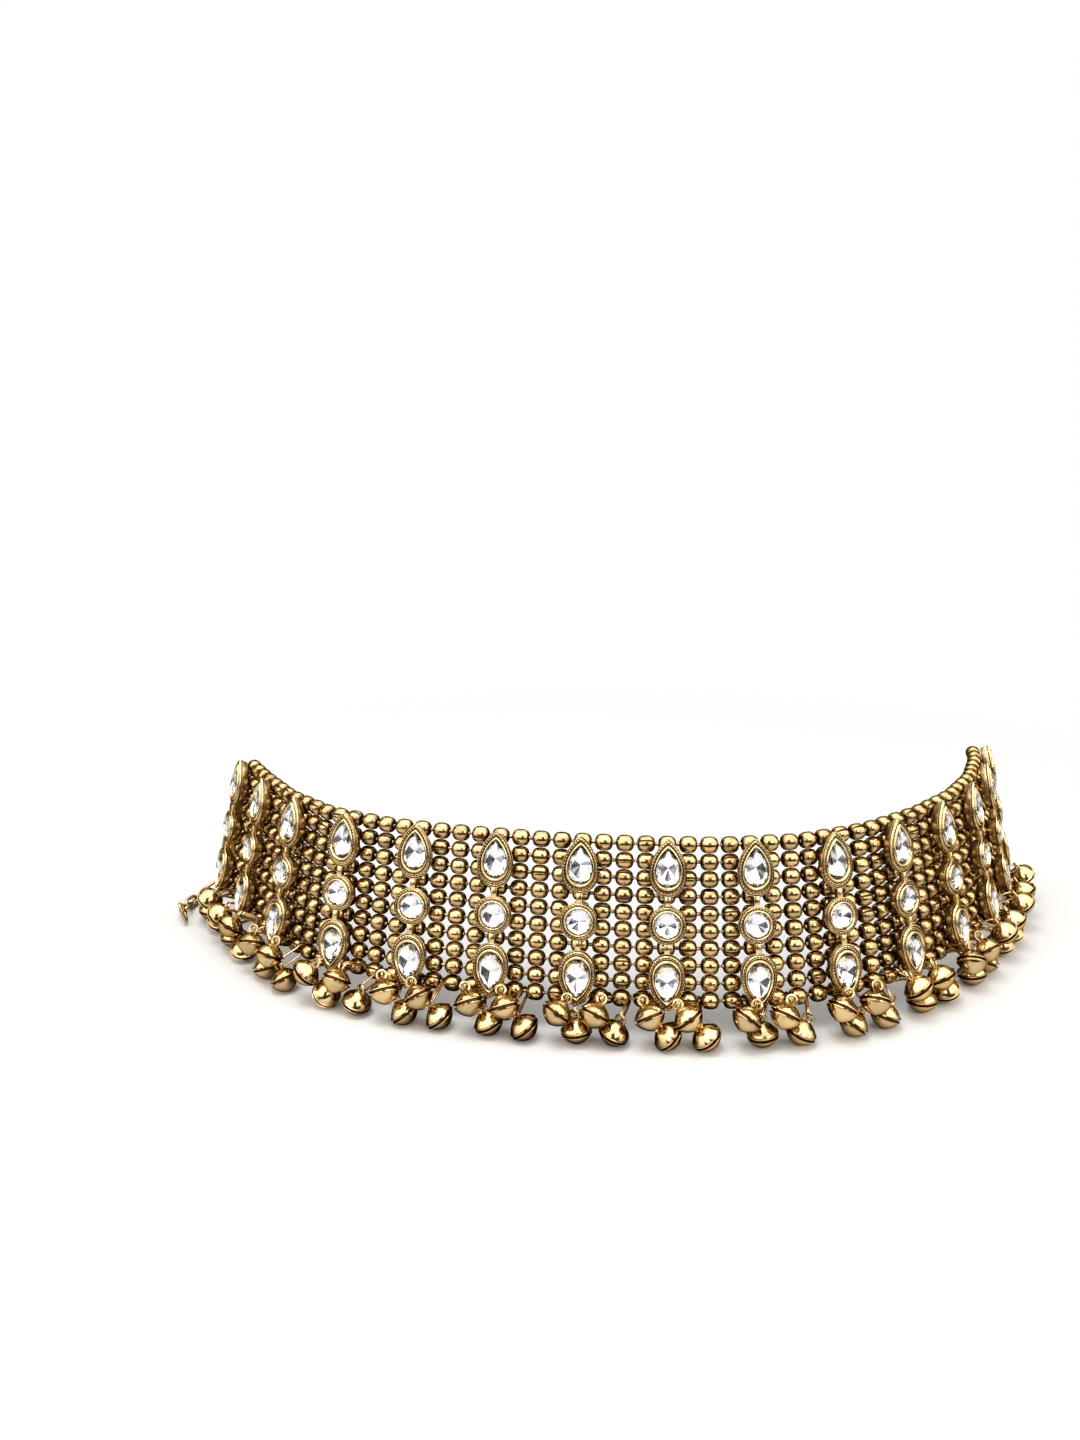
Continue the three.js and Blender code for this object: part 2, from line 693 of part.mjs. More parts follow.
const rightHole = unitGroups.at(-1).localToWorld(holePlace(1));
const downward = new THREE.Vector3(0, 0, -1);
const outFromLast = new THREE.Vector3(Math.sin(headings.at(-1)), -Math.cos(headings.at(-1)), 0);
const catchPlace = rightHole.addScaledVector(downward, throughPlate(catchRingDiameter, catchWire));
const catchRing = ovalRing(catchRingDiameter, catchRingDiameter, catchWire, 10, 5);
const catchNormal = new THREE.Vector3().crossVectors(downward, outFromLast);
add(anklet, 'catch_ring', placed(catchRing, downward, outFromLast, catchNormal, catchPlace), chainGold);

// The origin is under the middle of the whole piece, at the floor
const extent = new THREE.Box3().setFromObject(anklet, true);
anklet.position.set(-(extent.min.x + extent.max.x) / 2, -(extent.min.y + extent.max.y) / 2, -extent.min.z);

export default anklet;
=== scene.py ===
# %% [markdown]
# # Ghungroo anklet
# A dancer's anklet of gold ball-chain rows, with columns of jewelled cups, a fringe of small slit
# bells and a chain with a hook. It stands open in an arc on its bells. The solids, the joints and
# the sizes come from the frame; this script gives every piece its real surface and finish.

# %% Frame and sizes
import json
import math

import bpy
import numpy as np
from mathutils import Matrix, Vector


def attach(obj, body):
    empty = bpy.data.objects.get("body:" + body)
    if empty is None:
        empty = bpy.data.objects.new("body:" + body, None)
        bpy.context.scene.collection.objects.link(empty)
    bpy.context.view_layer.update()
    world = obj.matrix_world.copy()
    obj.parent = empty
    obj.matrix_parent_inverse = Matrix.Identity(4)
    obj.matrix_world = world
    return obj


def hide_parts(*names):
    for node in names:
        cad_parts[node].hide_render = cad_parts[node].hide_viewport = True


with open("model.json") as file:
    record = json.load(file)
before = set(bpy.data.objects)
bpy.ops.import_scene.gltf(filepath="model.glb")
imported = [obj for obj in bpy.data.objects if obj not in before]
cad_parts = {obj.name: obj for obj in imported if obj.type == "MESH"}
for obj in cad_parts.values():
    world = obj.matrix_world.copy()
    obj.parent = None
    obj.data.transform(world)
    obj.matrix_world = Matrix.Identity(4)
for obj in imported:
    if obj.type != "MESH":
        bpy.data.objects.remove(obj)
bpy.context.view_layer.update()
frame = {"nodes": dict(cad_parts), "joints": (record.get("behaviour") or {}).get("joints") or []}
joints = {joint["name"]: joint for joint in frame["joints"]}

MM = 0.001
UP = np.array([0.0, 0.0, 1.0])
ROWS = 10
ROW_PITCH = 3.3
BALL_PITCH = 4.1
BALL_RADIUS = 1.6
PIN_RADIUS = 0.45
BAND_TOP = (ROWS - 1) / 2 * ROW_PITCH
FIRST_COLUMN, LAST_COLUMN = -1, 2
LEAN = math.radians(14)
RUNNING_GAP = 0.3
UNITS = 15
seeded = np.random.default_rng(7)

# %% [markdown]
# The band is made of fifteen stiff units that fold on upright lines. Each unit's own directions
# are read from the joint on which its fringe of bells swings.

# %% Directions of each unit
class UnitFrame:
    """Place and directions of one unit: x along the rows, y in toward the ankle, z up the band, and
    level, which is y without its lean."""

    def __init__(self, number):
        joint = joints[f"fringe_swing_{number:02d}"]
        axis = np.array(joint["axis"], float)
        self.label = f"{number:02d}"
        self.index = number - 1
        self.heading = math.atan2(axis[1], axis[0])
        self.level = np.array([-math.sin(self.heading), math.cos(self.heading), 0.0])
        self.x = axis / np.linalg.norm(axis)
        self.y = self.level * math.cos(LEAN) - UP * math.sin(LEAN)
        self.z = self.level * math.sin(LEAN) + UP * math.cos(LEAN)
        self.origin = np.array(joint["pos_m"]) / MM + self.z * BAND_TOP

    def to_world(self, points):
        """Unit coordinates in millimetres to frame coordinates in millimetres."""
        return self.origin + points[:, :1] * self.x + points[:, 1:2] * self.y + points[:, 2:] * self.z

    def place(self, x, y, z):
        """One point in unit coordinates, in the frame."""
        return self.origin + x * self.x + y * self.y + z * self.z


units = [UnitFrame(number) for number in range(1, UNITS + 1)]
turns = [units[k + 1].heading - units[k].heading for k in range(UNITS - 1)]
slants = [math.tan(turn / 2) * math.sin(LEAN) for turn in turns]
left_reach = (0.5 - FIRST_COLUMN) * BALL_PITCH
right_reach = (0.5 + LAST_COLUMN) * BALL_PITCH


def across(unit, column, height):
    """Where a column of balls lies along the rows at a height. The rows open out toward the bells:
    its place is scaled by its side's reach less the height times the slant, over that reach."""
    if column < 0:
        slant = slants[unit.index - 1] if unit.index > 0 else 0
        return column * BALL_PITCH * (left_reach - height * slant) / left_reach
    slant = slants[unit.index] if unit.index < UNITS - 1 else 0
    return column * BALL_PITCH * (right_reach - height * slant) / right_reach


def columns_of(unit):
    """Columns of balls in a unit: the end units stop at their stones."""
    start = FIRST_COLUMN if unit.index > 0 else 0
    end = LAST_COLUMN if unit.index < UNITS - 1 else 0
    return list(range(start, end + 1))


print("turns:", [round(math.degrees(turn)) for turn in turns])

# %% [markdown]
# Every shape is a grid of points worked out by a formula: a profile turned about an axis, a round wire swept
# along a path, or a profile carried round an outline. The grids are gathered into one mesh per piece, with a
# random tone for each ball or bell and a mark for hollows, which are painted dark brown as patina and painted
# shade.

# %% Surfaces from grids
# Just over half a turn, so that rounding doesn't decide which side of it a corner is on.
HALF_TURN = 0.51


def grid_faces(rows, columns, wrap_rows=False):
    """Corner numbers of the four-sided faces between neighbouring points of a grid whose rows close."""
    row = np.arange(rows if wrap_rows else rows - 1)
    r, c = np.meshgrid(row, np.arange(columns), indexing="ij")
    here, there = r * columns, (r + 1) % rows * columns
    after = (c + 1) % columns
    return np.stack([here + c, here + after, there + after, there + c], -1).reshape(-1, 4)


class Surface:
    """Gathers grids into one mesh: points in millimetres, faces, UV, tone and hollow marks."""

    def __init__(self):
        self.points, self.faces, self.corners = [], [], []
        self.kinds, self.tones, self.hollows = [], [], []
        self.count = 0

    def add(self, points, face_sets, uv=None, tone=0.5, hollow=0.0, kinds=(0, 0, 0), turn=1.0):
        """Adds points and sets of faces. A face across the end of a turn has UV that runs on past it."""
        points = points.reshape(-1, 3)
        uv = np.zeros((len(points), 2)) if uv is None else uv
        for faces, kind in zip(face_sets, kinds):
            if faces.shape[1] == 3:
                faces = np.hstack([faces, faces[:, :1] * 0 - 1])
            corner = uv[np.where(faces < 0, faces[:, :1], faces)]
            far = corner[:, :, 0].max(1, keepdims=True) - corner[:, :, 0]
            corner[:, :, 0] += (far > HALF_TURN * turn) * turn
            self.corners.append(corner)
            self.faces.append(np.where(faces < 0, -1, faces + self.count))
            self.kinds.append(np.full(len(faces), kind))
        self.points.append(points)
        self.tones.append(np.broadcast_to(tone, len(points)))
        self.hollows.append(np.broadcast_to(hollow, len(points)))
        self.count += len(points)

    def build(self, name, materials, smooth=True, sharp_degrees=None):
        """One mesh object in metres, with its origin at the frame's origin."""
        points = np.vstack(self.points) * MM
        faces = np.vstack(self.faces)
        tone, hollow = np.concatenate(self.tones), np.concatenate(self.hollows)
        used = (faces >= 0).ravel()
        sizes = (faces >= 0).sum(1)
        corners = faces.ravel()[used]
        uv = np.vstack(self.corners).reshape(-1, 2)[used]
        mesh = bpy.data.meshes.new(name)
        mesh.vertices.add(len(points))
        mesh.vertices.foreach_set("co", points.ravel())
        mesh.loops.add(len(corners))
        mesh.loops.foreach_set("vertex_index", corners)
        mesh.polygons.add(len(faces))
        mesh.polygons.foreach_set("loop_start", np.concatenate([[0], np.cumsum(sizes)[:-1]]))
        mesh.polygons.foreach_set("material_index", np.concatenate(self.kinds))
        mesh.polygons.foreach_set("use_smooth", np.full(len(faces), smooth))
        layer = mesh.uv_layers.new(name="UVMap")
        layer.data.foreach_set("uv", uv.ravel())
        for label, values in (("tone", tone), ("hollow", hollow)):
            mesh.attributes.new(label, "FLOAT", "POINT").data.foreach_set("value", values)
        mesh.update(calc_edges=True)
        mesh.validate()
        if smooth and sharp_degrees:
            mesh.set_sharp_from_angle(angle=math.radians(sharp_degrees))
        piece = bpy.data.objects.new(name, mesh)
        bpy.context.scene.collection.objects.link(piece)
        for material in materials:
            mesh.materials.append(material)
        return piece


def full_turn(steps, shift=0.0):
    """Evenly spaced angles once round, from a share of a step on."""
    return 2 * np.pi * (np.arange(steps) + shift) / steps


def turned(profile, sides, start_angle):
    """A profile of (distance along, radius) turned about the first axis. Rows of zero radius are
    poles. Gives the points (along, out, side), the faces and UV of (share round, share along)."""
    profile = np.asarray(profile, float)
    angle = start_angle + full_turn(sides)
    along, radius = profile[:, 0], np.maximum(profile[:, 1], 0)
    closed = [radius[0] < 1e-9, radius[-1] < 1e-9]
    inner = slice(1 if closed[0] else 0, len(profile) - 1 if closed[1] else None)
    a, r = along[inner], radius[inner]
    ring = np.stack([np.repeat(a, sides), np.outer(r, np.cos(angle)).ravel(),
                     np.outer(r, np.sin(angle)).ravel()], -1)
    faces = [grid_faces(len(a), sides)]
    share = np.linspace(0, 1, len(profile))
    uv = [np.stack([np.tile(np.arange(sides) / sides, len(a)), np.repeat(share[inner], sides)], -1)]
    points = [ring]
    around = np.arange(sides)
    after = (around + 1) % sides
    total = len(ring)
    for end in np.flatnonzero(closed):
        points.append([[along[-end], 0, 0]])
        uv.append([[0.5, end]])
        base = end * (len(a) - 1) * sides
        edge = (after, around) if end == 0 else (around, after)
        faces.append(np.stack([np.full(sides, total), base + edge[0], base + edge[1]], -1))
        total += 1
    return np.vstack(points), faces, np.vstack(uv)


def add_turned(surface, profile, sides, place, along, out, tone, hollow, spin=0.0, u_shift=0.0):
    """Adds a turned profile at a place, its axis along one direction. The hollow marks are spread
    evenly along the profile."""
    points, faces, uv = turned(profile, sides, spin)
    side = np.cross(along, out)
    world = place + points[:, :1] * along + points[:, 1:2] * out + points[:, 2:] * side
    marks = np.interp(uv[:, 1], np.linspace(0, 1, len(hollow)), hollow)
    surface.add(world, faces, uv + [u_shift, 0], tone, marks)


def add_wire(surface, path, flat, radius, sides, closed=True, tone=0.5, hollow=0.0):
    """A round wire swept along a flat path: each section lies across the path's direction."""
    if closed:
        heading = np.roll(path, -1, 0) - np.roll(path, 1, 0)
    else:
        heading = np.gradient(path, axis=0)
    heading /= np.linalg.norm(heading, axis=1, keepdims=True)
    out = np.cross(heading, np.broadcast_to(flat, path.shape))
    out /= np.linalg.norm(out, axis=1, keepdims=True)
    up = np.cross(out, heading)
    radius = np.broadcast_to(radius, len(path))
    angle = full_turn(sides)
    section = np.cos(angle)[None, :, None] * out[:, None] + np.sin(angle)[None, :, None] * up[:, None]
    points = path[:, None] + section * radius[:, None, None]
    faces = [grid_faces(len(path), sides, wrap_rows=closed)[:, ::-1]]
    if not closed:
        ring = np.arange(sides)
        last = (len(path) - 1) * sides
        for around in (ring, last + ring[::-1]):
            faces.append(np.stack([np.full(sides - 2, around[0]), around[1:-1], around[2:]], -1))
    uv = np.stack([np.repeat(np.linspace(0, 1, len(path)), sides), np.tile(angle / 2 / np.pi, len(path))], -1)
    surface.add(points, faces, uv, tone, hollow)


def oval_path(length, width, steps):
    """Closed oval of a bent wire: half circles joined by straights, with its length first."""
    angle = full_turn(steps, 0.5)
    radius = width / 2
    shift = np.sign(np.cos(angle)) * (length - width) / 2
    return np.stack([radius * np.cos(angle) + shift, radius * np.sin(angle)], -1)


def laid_out(place, outline, first, second):
    """A flat outline at a place: its two numbers counted along two directions."""
    return place + outline @ np.array([first, second])


# %% [markdown]
# The finishes. The ball chain, cups and bells are gold-plated brass; the plating is bright on the bells and
# antiqued on the balls, where a brown patina stays in the hollows and seams. The dark brown in the hollows is
# also painted shade: at the balls' ends, in the cups' grooves and dots, and over the whole inside of each
# bell.

# %% Shared effects
def feed(tree, node, values):
    """Sets inputs of a node, by name or number: a socket is linked, anything else is the value."""
    for key, value in values.items():
        if isinstance(value, bpy.types.NodeSocket):
            tree.links.new(value, node.inputs[key])
        else:
            node.inputs[key].default_value = value


def add_node(tree, kind, values=None, **settings):
    """A new node of a kind, with its settings and its inputs."""
    node = tree.nodes.new(f"ShaderNode{kind}")
    for key, value in settings.items():
        setattr(node, key, value)
    feed(tree, node, values or {})
    return node


def group_of(name, inputs, outputs):
    """A node group with named inputs and outputs, and its input and output nodes."""
    group = bpy.data.node_groups.new(name, "ShaderNodeTree")
    for label, kind, default in inputs:
        socket = group.interface.new_socket(label, in_out="INPUT", socket_type=kind)
        socket.default_value = default
    for label, kind in outputs:
        group.interface.new_socket(label, in_out="OUTPUT", socket_type=kind)
    return group, group.nodes.new("NodeGroupInput"), group.nodes.new("NodeGroupOutput")


def math_node(tree, operation, a, b=0.5, c=0.5, clamp=False):
    """A math node of up to three numbers or sockets."""
    return add_node(tree, "Math", {0: a, 1: b, 2: c}, operation=operation, use_clamp=clamp).outputs[0]


def mix_colors(tree, share, a, b):
    """A colour mix whose share and colours are numbers or sockets."""
    return add_node(tree, "Mix", {0: share, 6: a, 7: b}, data_type="RGBA").outputs[2]


def noise_of(tree, vector, scale, roughness):
    """Noise on a vector socket."""
    values = {"Vector": vector, "Scale": scale, "Detail": 3.0, "Roughness": roughness}
    return add_node(tree, "TexNoise", values).outputs["Fac"]


def ramp_of(tree, value, low, high):
    """A smooth step of a value from 0 at low to 1 at high."""
    values = {"Value": value, "From Min": low, "From Max": high}
    return add_node(tree, "MapRange", values, interpolation_type="SMOOTHSTEP").outputs["Result"]


def parts_of(tree, vector):
    """The X, Y and Z of a vector socket."""
    return add_node(tree, "SeparateXYZ", {0: vector}).outputs


def make_patina_and_shade():
    """Antique gold plate: brown patina in clouds, brown in hollows that is patina and painted shade, and a
    different tone for each bead.
    """
    group, start, end = group_of(
        "antique_plate_and_shade",
        [("Vector", "NodeSocketVector", (0, 0, 0)), ("Gold", "NodeSocketColor", (0.8, 0.6, 0.3, 1)),
         ("Patina And Shade", "NodeSocketColor", (0.1, 0.05, 0.02, 1)), ("Hollow", "NodeSocketFloat", 0.0),
         ("Tone", "NodeSocketFloat", 0.5), ("Cloud Scale", "NodeSocketFloat", 900.0),
         ("Amount", "NodeSocketFloat", 0.3), ("Polish", "NodeSocketFloat", 0.2)],
        [("Color", "NodeSocketColor"), ("Roughness", "NodeSocketFloat"), ("Height", "NodeSocketFloat")])
    given = start.outputs
    noise = noise_of(group, given["Vector"], given["Cloud Scale"], 0.5)
    clouds = ramp_of(group, noise, 0.42, 0.75)
    dull = math_node(group, "MULTIPLY", clouds, given["Amount"])
    # The hollow marks add more of the dark brown: painted shade, partly patina.
    dull = math_node(group, "ADD", dull, given["Hollow"], clamp=True)
    toned = math_node(group, "MULTIPLY_ADD", given["Tone"], 0.35, 0.82)
    bright = add_node(group, "VectorMath", {0: given["Gold"], "Scale": toned}, operation="SCALE")
    colour = mix_colors(group, dull, bright.outputs[0], given["Patina And Shade"])
    rough = math_node(group, "MULTIPLY_ADD", dull, 0.3, given["Polish"])
    feed(group, end, {"Color": colour, "Roughness": rough, "Height": noise})
    return group


patina_and_shade = make_patina_and_shade()
print("groups:", [group.name for group in bpy.data.node_groups])


# %% Materials
def new_material(name):
    """A material, its nodes and its shader."""
    material = bpy.data.materials.new(name)
    material.use_nodes = True
    return material, material.node_tree, material.node_tree.nodes["Principled BSDF"]


def attribute_of(tree, name):
    """A float attribute of the piece."""
    return add_node(tree, "Attribute", attribute_name=name).outputs["Fac"]


def gold_material(name, gold, patina_and_shade_color, polish, amount, cloud_scale, bump, details):
    """Gold plate on brass. details, if given, adds height and hollow marks from the UV."""
    material, tree, shader = new_material(name)
    place = add_node(tree, "TexCoord").outputs
    plate = add_node(tree, "Group", node_tree=patina_and_shade)
    feed(tree, plate, {
        "Vector": place["Object"], "Gold": (*gold, 1), "Patina And Shade": (*patina_and_shade_color, 1), "Polish": polish,
        "Amount": amount, "Cloud Scale": cloud_scale, "Tone": attribute_of(tree, "tone")})
    hollow = attribute_of(tree, "hollow")
    height = math_node(tree, "MULTIPLY", plate.outputs["Height"], 0.3)
    if details:
        dent, dark = details(tree, place["UV"])
        hollow = math_node(tree, "ADD", hollow, dark, clamp=True)
        height = math_node(tree, "SUBTRACT", height, dent)
    feed(tree, plate, {"Hollow": hollow})
    bumps = add_node(tree, "Bump", {"Strength": 1.0, "Distance": bump * MM, "Height": height})
    feed(tree, shader, {
        "Metallic": 1.0, "Specular Tint": (0.38, 0.22, 0.09, 1), "Base Color": plate.outputs["Color"],
        "Roughness": plate.outputs["Roughness"], "Normal": bumps.outputs["Normal"]})
    return material


def seam_details(tree, uv):
    """The seam of a bead rolled from strip: a fine dark line from pinhole to pinhole."""
    parts = parts_of(tree, uv)
    turn = math_node(tree, "FRACT", parts["X"])
    off = math_node(tree, "ABSOLUTE", math_node(tree, "SUBTRACT", turn, 0.5))
    line = math_node(tree, "SUBTRACT", 1.0, ramp_of(tree, off, 0.016, 0.026))
    short = math_node(tree, "ABSOLUTE", math_node(tree, "SUBTRACT", parts["Y"], 0.5))
    inside = math_node(tree, "SUBTRACT", 1.0, ramp_of(tree, short, 0.26, 0.3))
    line = math_node(tree, "MULTIPLY", line, inside)
    return line, line


def punched_details(tree, uv):
    """A row of tiny punched dots where the UV's second part is the band, each darkened as painted shade in
    its pit. How far a point is from the middle of its dot is the root of the sum of two squares."""
    parts = parts_of(tree, uv)
    step = math_node(tree, "SUBTRACT", math_node(tree, "FRACT", parts["X"]), 0.5)
    side = math_node(tree, "MULTIPLY", math_node(tree, "SUBTRACT", parts["Y"], 0.5), 1.1)
    squares = [math_node(tree, "MULTIPLY", way, way) for way in (step, side)]
    far = math_node(tree, "SQRT", math_node(tree, "ADD", *squares))
    dot = math_node(tree, "SUBTRACT", 1.0, ramp_of(tree, far, 0.28, 0.4))
    # Each dot is dented, and darkened with the brown as painted shade in the pit.
    return dot, math_node(tree, "MULTIPLY", dot, 0.95)


# Each finish: gold, patina and painted-shade brown, polish, amount and scale of its clouds, height of its
# bumps, details.
FINISHES = {
    "bead_gold": ((0.56, 0.395, 0.18), (0.05, 0.020, 0.007), 0.12, 0.45, 700, 0.03, seam_details),
    "bell_gold": ((0.66, 0.48, 0.24), (0.07, 0.030, 0.010), 0.1, 0.35, 260, 0.012, None),
    "setting_gold": ((0.82, 0.61, 0.30), (0.05, 0.020, 0.007), 0.13, 0.35, 1600, 0.16, punched_details),
    "chain_gold": ((0.52, 0.38, 0.19), (0.10, 0.05, 0.02), 0.22, 0.35, 500, 0.02, None)}
golds = {name: gold_material(name, *finish) for name, finish in FINISHES.items()}


def finish_piece(surface, name, gold, body, node, sharp_degrees=60):
    """Builds a gold piece, which moves with a body, stands for a solid and has its gold's slot."""
    piece = surface.build(name, [golds[gold]], sharp_degrees=sharp_degrees)
    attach(piece, body)
    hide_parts(node)


def glass_material():
    """Clear cut glass."""
    material, tree, shader = new_material("crystal_glass")
    feed(tree, shader, {"Base Color": (0.98, 0.985, 1.0, 1), "Metallic": 0.0, "Roughness": 0.02,
                        "IOR": 1.52, "Transmission Weight": 1.0})
    return material


def foil_material():
    """Silver foil behind the stone, with faint clouds in its polish."""
    material, tree, shader = new_material("crystal_foil")
    clouds = noise_of(tree, add_node(tree, "TexCoord").outputs["Object"], 1500, 0.55)
    colour = mix_colors(tree, clouds, (0.86, 0.87, 0.9, 1), (0.98, 0.98, 0.98, 1))
    rough = math_node(tree, "MULTIPLY_ADD", clouds, 0.16, 0.02)
    feed(tree, shader, {"Metallic": 1.0, "Base Color": colour, "Roughness": rough})
    return material


crystal, foil = glass_material(), foil_material()
print("finishes:", [*golds, crystal.name, foil.name])

# %% [markdown]
# The ball chain. Each ball is a bead rolled from strip, slightly barrel-shaped, with a pinhole at
# each end and its seam turned at random; thin pins join the balls of a row, and the rows touch.

# %% Ball chain
BEAD_HALF_LENGTH, BEAD_RADIUS, BEAD_POWER = 1.72, 1.64, 0.74
PINHOLE_ANGLE, PINHOLE_DEPTH = 0.3, 0.12
# Painted shade, partly patina, along each ball: darkest at the pinholes, where the balls meet.
BEAD_HOLLOW = [1.0, 1.0, 0.55, 0.12, 0.0, 0.0, 0.0, 0.12, 0.55, 1.0, 1.0]
PIN_END = ((0, 0), (0.06, 0.22), (0.2, 0.36))
PIN_GAP = 0.03


def bead_profile(steps):
    """A slightly squared ball: sine and cosine raised to a power a little under one."""
    angle = np.linspace(PINHOLE_ANGLE, np.pi - PINHOLE_ANGLE, steps)
    along = -np.sign(np.cos(angle)) * np.abs(np.cos(angle)) ** BEAD_POWER * BEAD_HALF_LENGTH
    out = np.sin(angle) ** BEAD_POWER * BEAD_RADIUS
    wall = np.stack([along, out], -1)
    return np.vstack([[along[0] + PINHOLE_DEPTH, 0], wall, [along[-1] - PINHOLE_DEPTH, 0]])


BEAD = bead_profile(9)


def add_row(surface, unit, row):
    """One row of balls and its pins, up to the folds at both ends."""
    height = BAND_TOP - row * ROW_PITCH
    columns = columns_of(unit)
    for column in columns:
        place = unit.place(across(unit, column, height), 0.0, height)
        add_turned(surface, BEAD, 16, place, unit.x, -unit.y, tone=seeded.random(),
                   hollow=BEAD_HOLLOW, u_shift=seeded.random())
    start = across(unit, columns[0] - 0.5, height) + PIN_GAP
    length = across(unit, columns[-1] + 0.5, height) - PIN_GAP - start
    profile = [*PIN_END, *((length - far, radius) for far, radius in PIN_END[::-1])]
    # The pins are darkened with the brown as painted shade between the balls.
    add_turned(surface, profile, 8, unit.place(start, 0.0, height), unit.x, -unit.y, 0.3, [0.35, 0.35])


for unit in units:
    surface = Surface()
    for row in range(ROWS - 1):
        add_row(surface, unit, row)
    finish_piece(surface, f"ball_rows_{unit.label}", "bead_gold", f"band_unit_{unit.label}",
                 f"bead_panel_{unit.label}")
print("balls in a full row:", sum(len(columns_of(unit)) for unit in units))

# %% [markdown]
# The jewelled settings. A cup is pressed from sheet: a flared wall, a rim band punched with tiny
# dots between two grooves, and a bezel that holds the stone. Three cups are joined by small tabs.

# %% Settings
PEAR_LENGTH, PEAR_WIDTH, ROUND_WIDTH, STONE_SPACING = 11.0, 7.1, 7.3, 10.8
PEAR_POINT = 0.58
CUP_BACK = -(BALL_RADIUS + RUNNING_GAP)
CUP_FRONT = CUP_BACK - 1.9
DOT_SPACING = 0.7
SOLDER_HALF, SOLDER_HEIGHT, SOLDER_BACK = 0.4, 1.65, -1.35
TAB_HALF_WIDTH, TAB_HALF_HEIGHT, BLOCK_EASE = 0.56, 1.0, 0.12
TAB_HEIGHT = (ROUND_WIDTH / 2 + STONE_SPACING - PEAR_LENGTH / 2) / 2


def pear_outline(steps, upright=1):
    """Teardrop: sine of the turn times a power of the sine of half the turn, scaled to the width;
    cosine of the turn for the length."""
    turn = full_turn(steps)
    fine = np.linspace(0, np.pi, 361)
    widest = (np.sin(fine) * np.sin(fine / 2) ** PEAR_POINT).max()
    half = np.sin(turn) * np.abs(np.sin(turn / 2)) ** PEAR_POINT / widest
    return np.stack([half * PEAR_WIDTH / 2, upright * np.cos(turn) * PEAR_LENGTH / 2], -1)[::upright]


def pear_upside_down(steps):
    """The teardrop with its point down."""
    return pear_outline(steps, -1)


def round_outline(steps):
    """Circle."""
    turn = full_turn(steps)
    return np.stack([np.sin(turn), np.cos(turn)], -1) * ROUND_WIDTH / 2


# The cup's section as (inset, depth), from its back over the rim into the well, and its hollow marks: painted
# shade, partly patina, on its back, in its grooves and down the bezel.
CUP_PROFILE = np.array([
    (0.42, CUP_BACK), (0.34, CUP_BACK - 0.12), (0.2, CUP_BACK - 0.8), (0.06, CUP_FRONT + 0.62),
    (0.05, CUP_FRONT + 0.52), (0.17, CUP_FRONT + 0.42), (0.17, CUP_FRONT + 0.32), (0.02, CUP_FRONT + 0.22),
    (0.0, CUP_FRONT + 0.06), (0.05, CUP_FRONT - 0.08), (0.13, CUP_FRONT - 0.1), (0.17, CUP_FRONT + 0.06),
    (0.23, CUP_FRONT + 0.06), (0.28, CUP_FRONT - 0.1), (0.45, CUP_FRONT - 0.19), (0.62, CUP_FRONT - 0.14),
    (0.67, CUP_FRONT + 0.04), (0.74, CUP_FRONT + 0.04), (0.8, CUP_FRONT - 0.24), (0.9, CUP_FRONT - 0.4),
    (1.02, CUP_FRONT - 0.42), (1.12, CUP_FRONT - 0.3), (1.22, CUP_FRONT), (1.3, CUP_FRONT + 0.18),
    (1.34, CUP_FRONT + 0.75)])
CUP_HOLLOW = np.array([0.6, 0.5, 0.45, 0.2, 0.3, 1.0, 1.0, 0.3, 0.0, 0.0, 0.0, 1.0, 1.0, 0.15, 0.0, 0.15,
                       1.0, 1.0, 0.1, 0.0, 0.0, 0.0, 0.4, 0.8, 1.0])
DOT_ROWS = (13, 15)
# Insets and depths from the cup's front: the stone's girdle, the points between, its table; its tips.
STONE_RINGS = ((1.26, 0.12), (1.56, -0.36), (1.96, -0.62))
STONE_TIPS = (-0.65, 0.6)


def add_cup(surface, unit, outline, middle):
    """Carries the cup's profile round an outline; an inset draws the outline in."""
    many, rows = len(outline), len(CUP_PROFILE)
    share = 1 - CUP_PROFILE[:, 0] / outline[:, 0].max()
    x = share[:, None] * outline[:, 0]
    z = share[:, None] * outline[:, 1] + middle
    y = np.broadcast_to(CUP_PROFILE[:, 1:], x.shape)
    points = np.stack([x, y, z], -1).reshape(-1, 3)
    centres = np.array([[0, CUP_PROFILE[0, 1], middle], [0, CUP_PROFILE[-1, 1], middle]])
    step = np.linalg.norm(np.roll(outline, -1, 0) - outline, axis=1)
    length = np.concatenate([[0], np.cumsum(step)[:-1]])
    dots = round(step.sum() / DOT_SPACING)
    u = np.tile(length / step.sum() * dots, rows)
    v = np.repeat(np.interp(np.arange(rows), DOT_ROWS, [0.0, 1.0], left=-1, right=2), many)
    here, after = np.arange(many), np.roll(np.arange(many), -1)
    last = (rows - 1) * many
    back = np.stack([np.full(many, rows * many), here, after], -1)
    well = np.stack([np.full(many, rows * many + 1), last + after, last + here], -1)
    # The back's middle is painted a little dark and the well behind the stone almost fully dark, as painted
    # shade.
    surface.add(unit.to_world(np.vstack([points, centres])), (grid_faces(rows, many)[:, ::-1], back, well),
                np.vstack([np.stack([u, v], -1), [[0, 2], [0, 2]]]), 0.5,
                np.concatenate([np.repeat(CUP_HOLLOW, many), [0.3, 0.9]]), turn=dots)


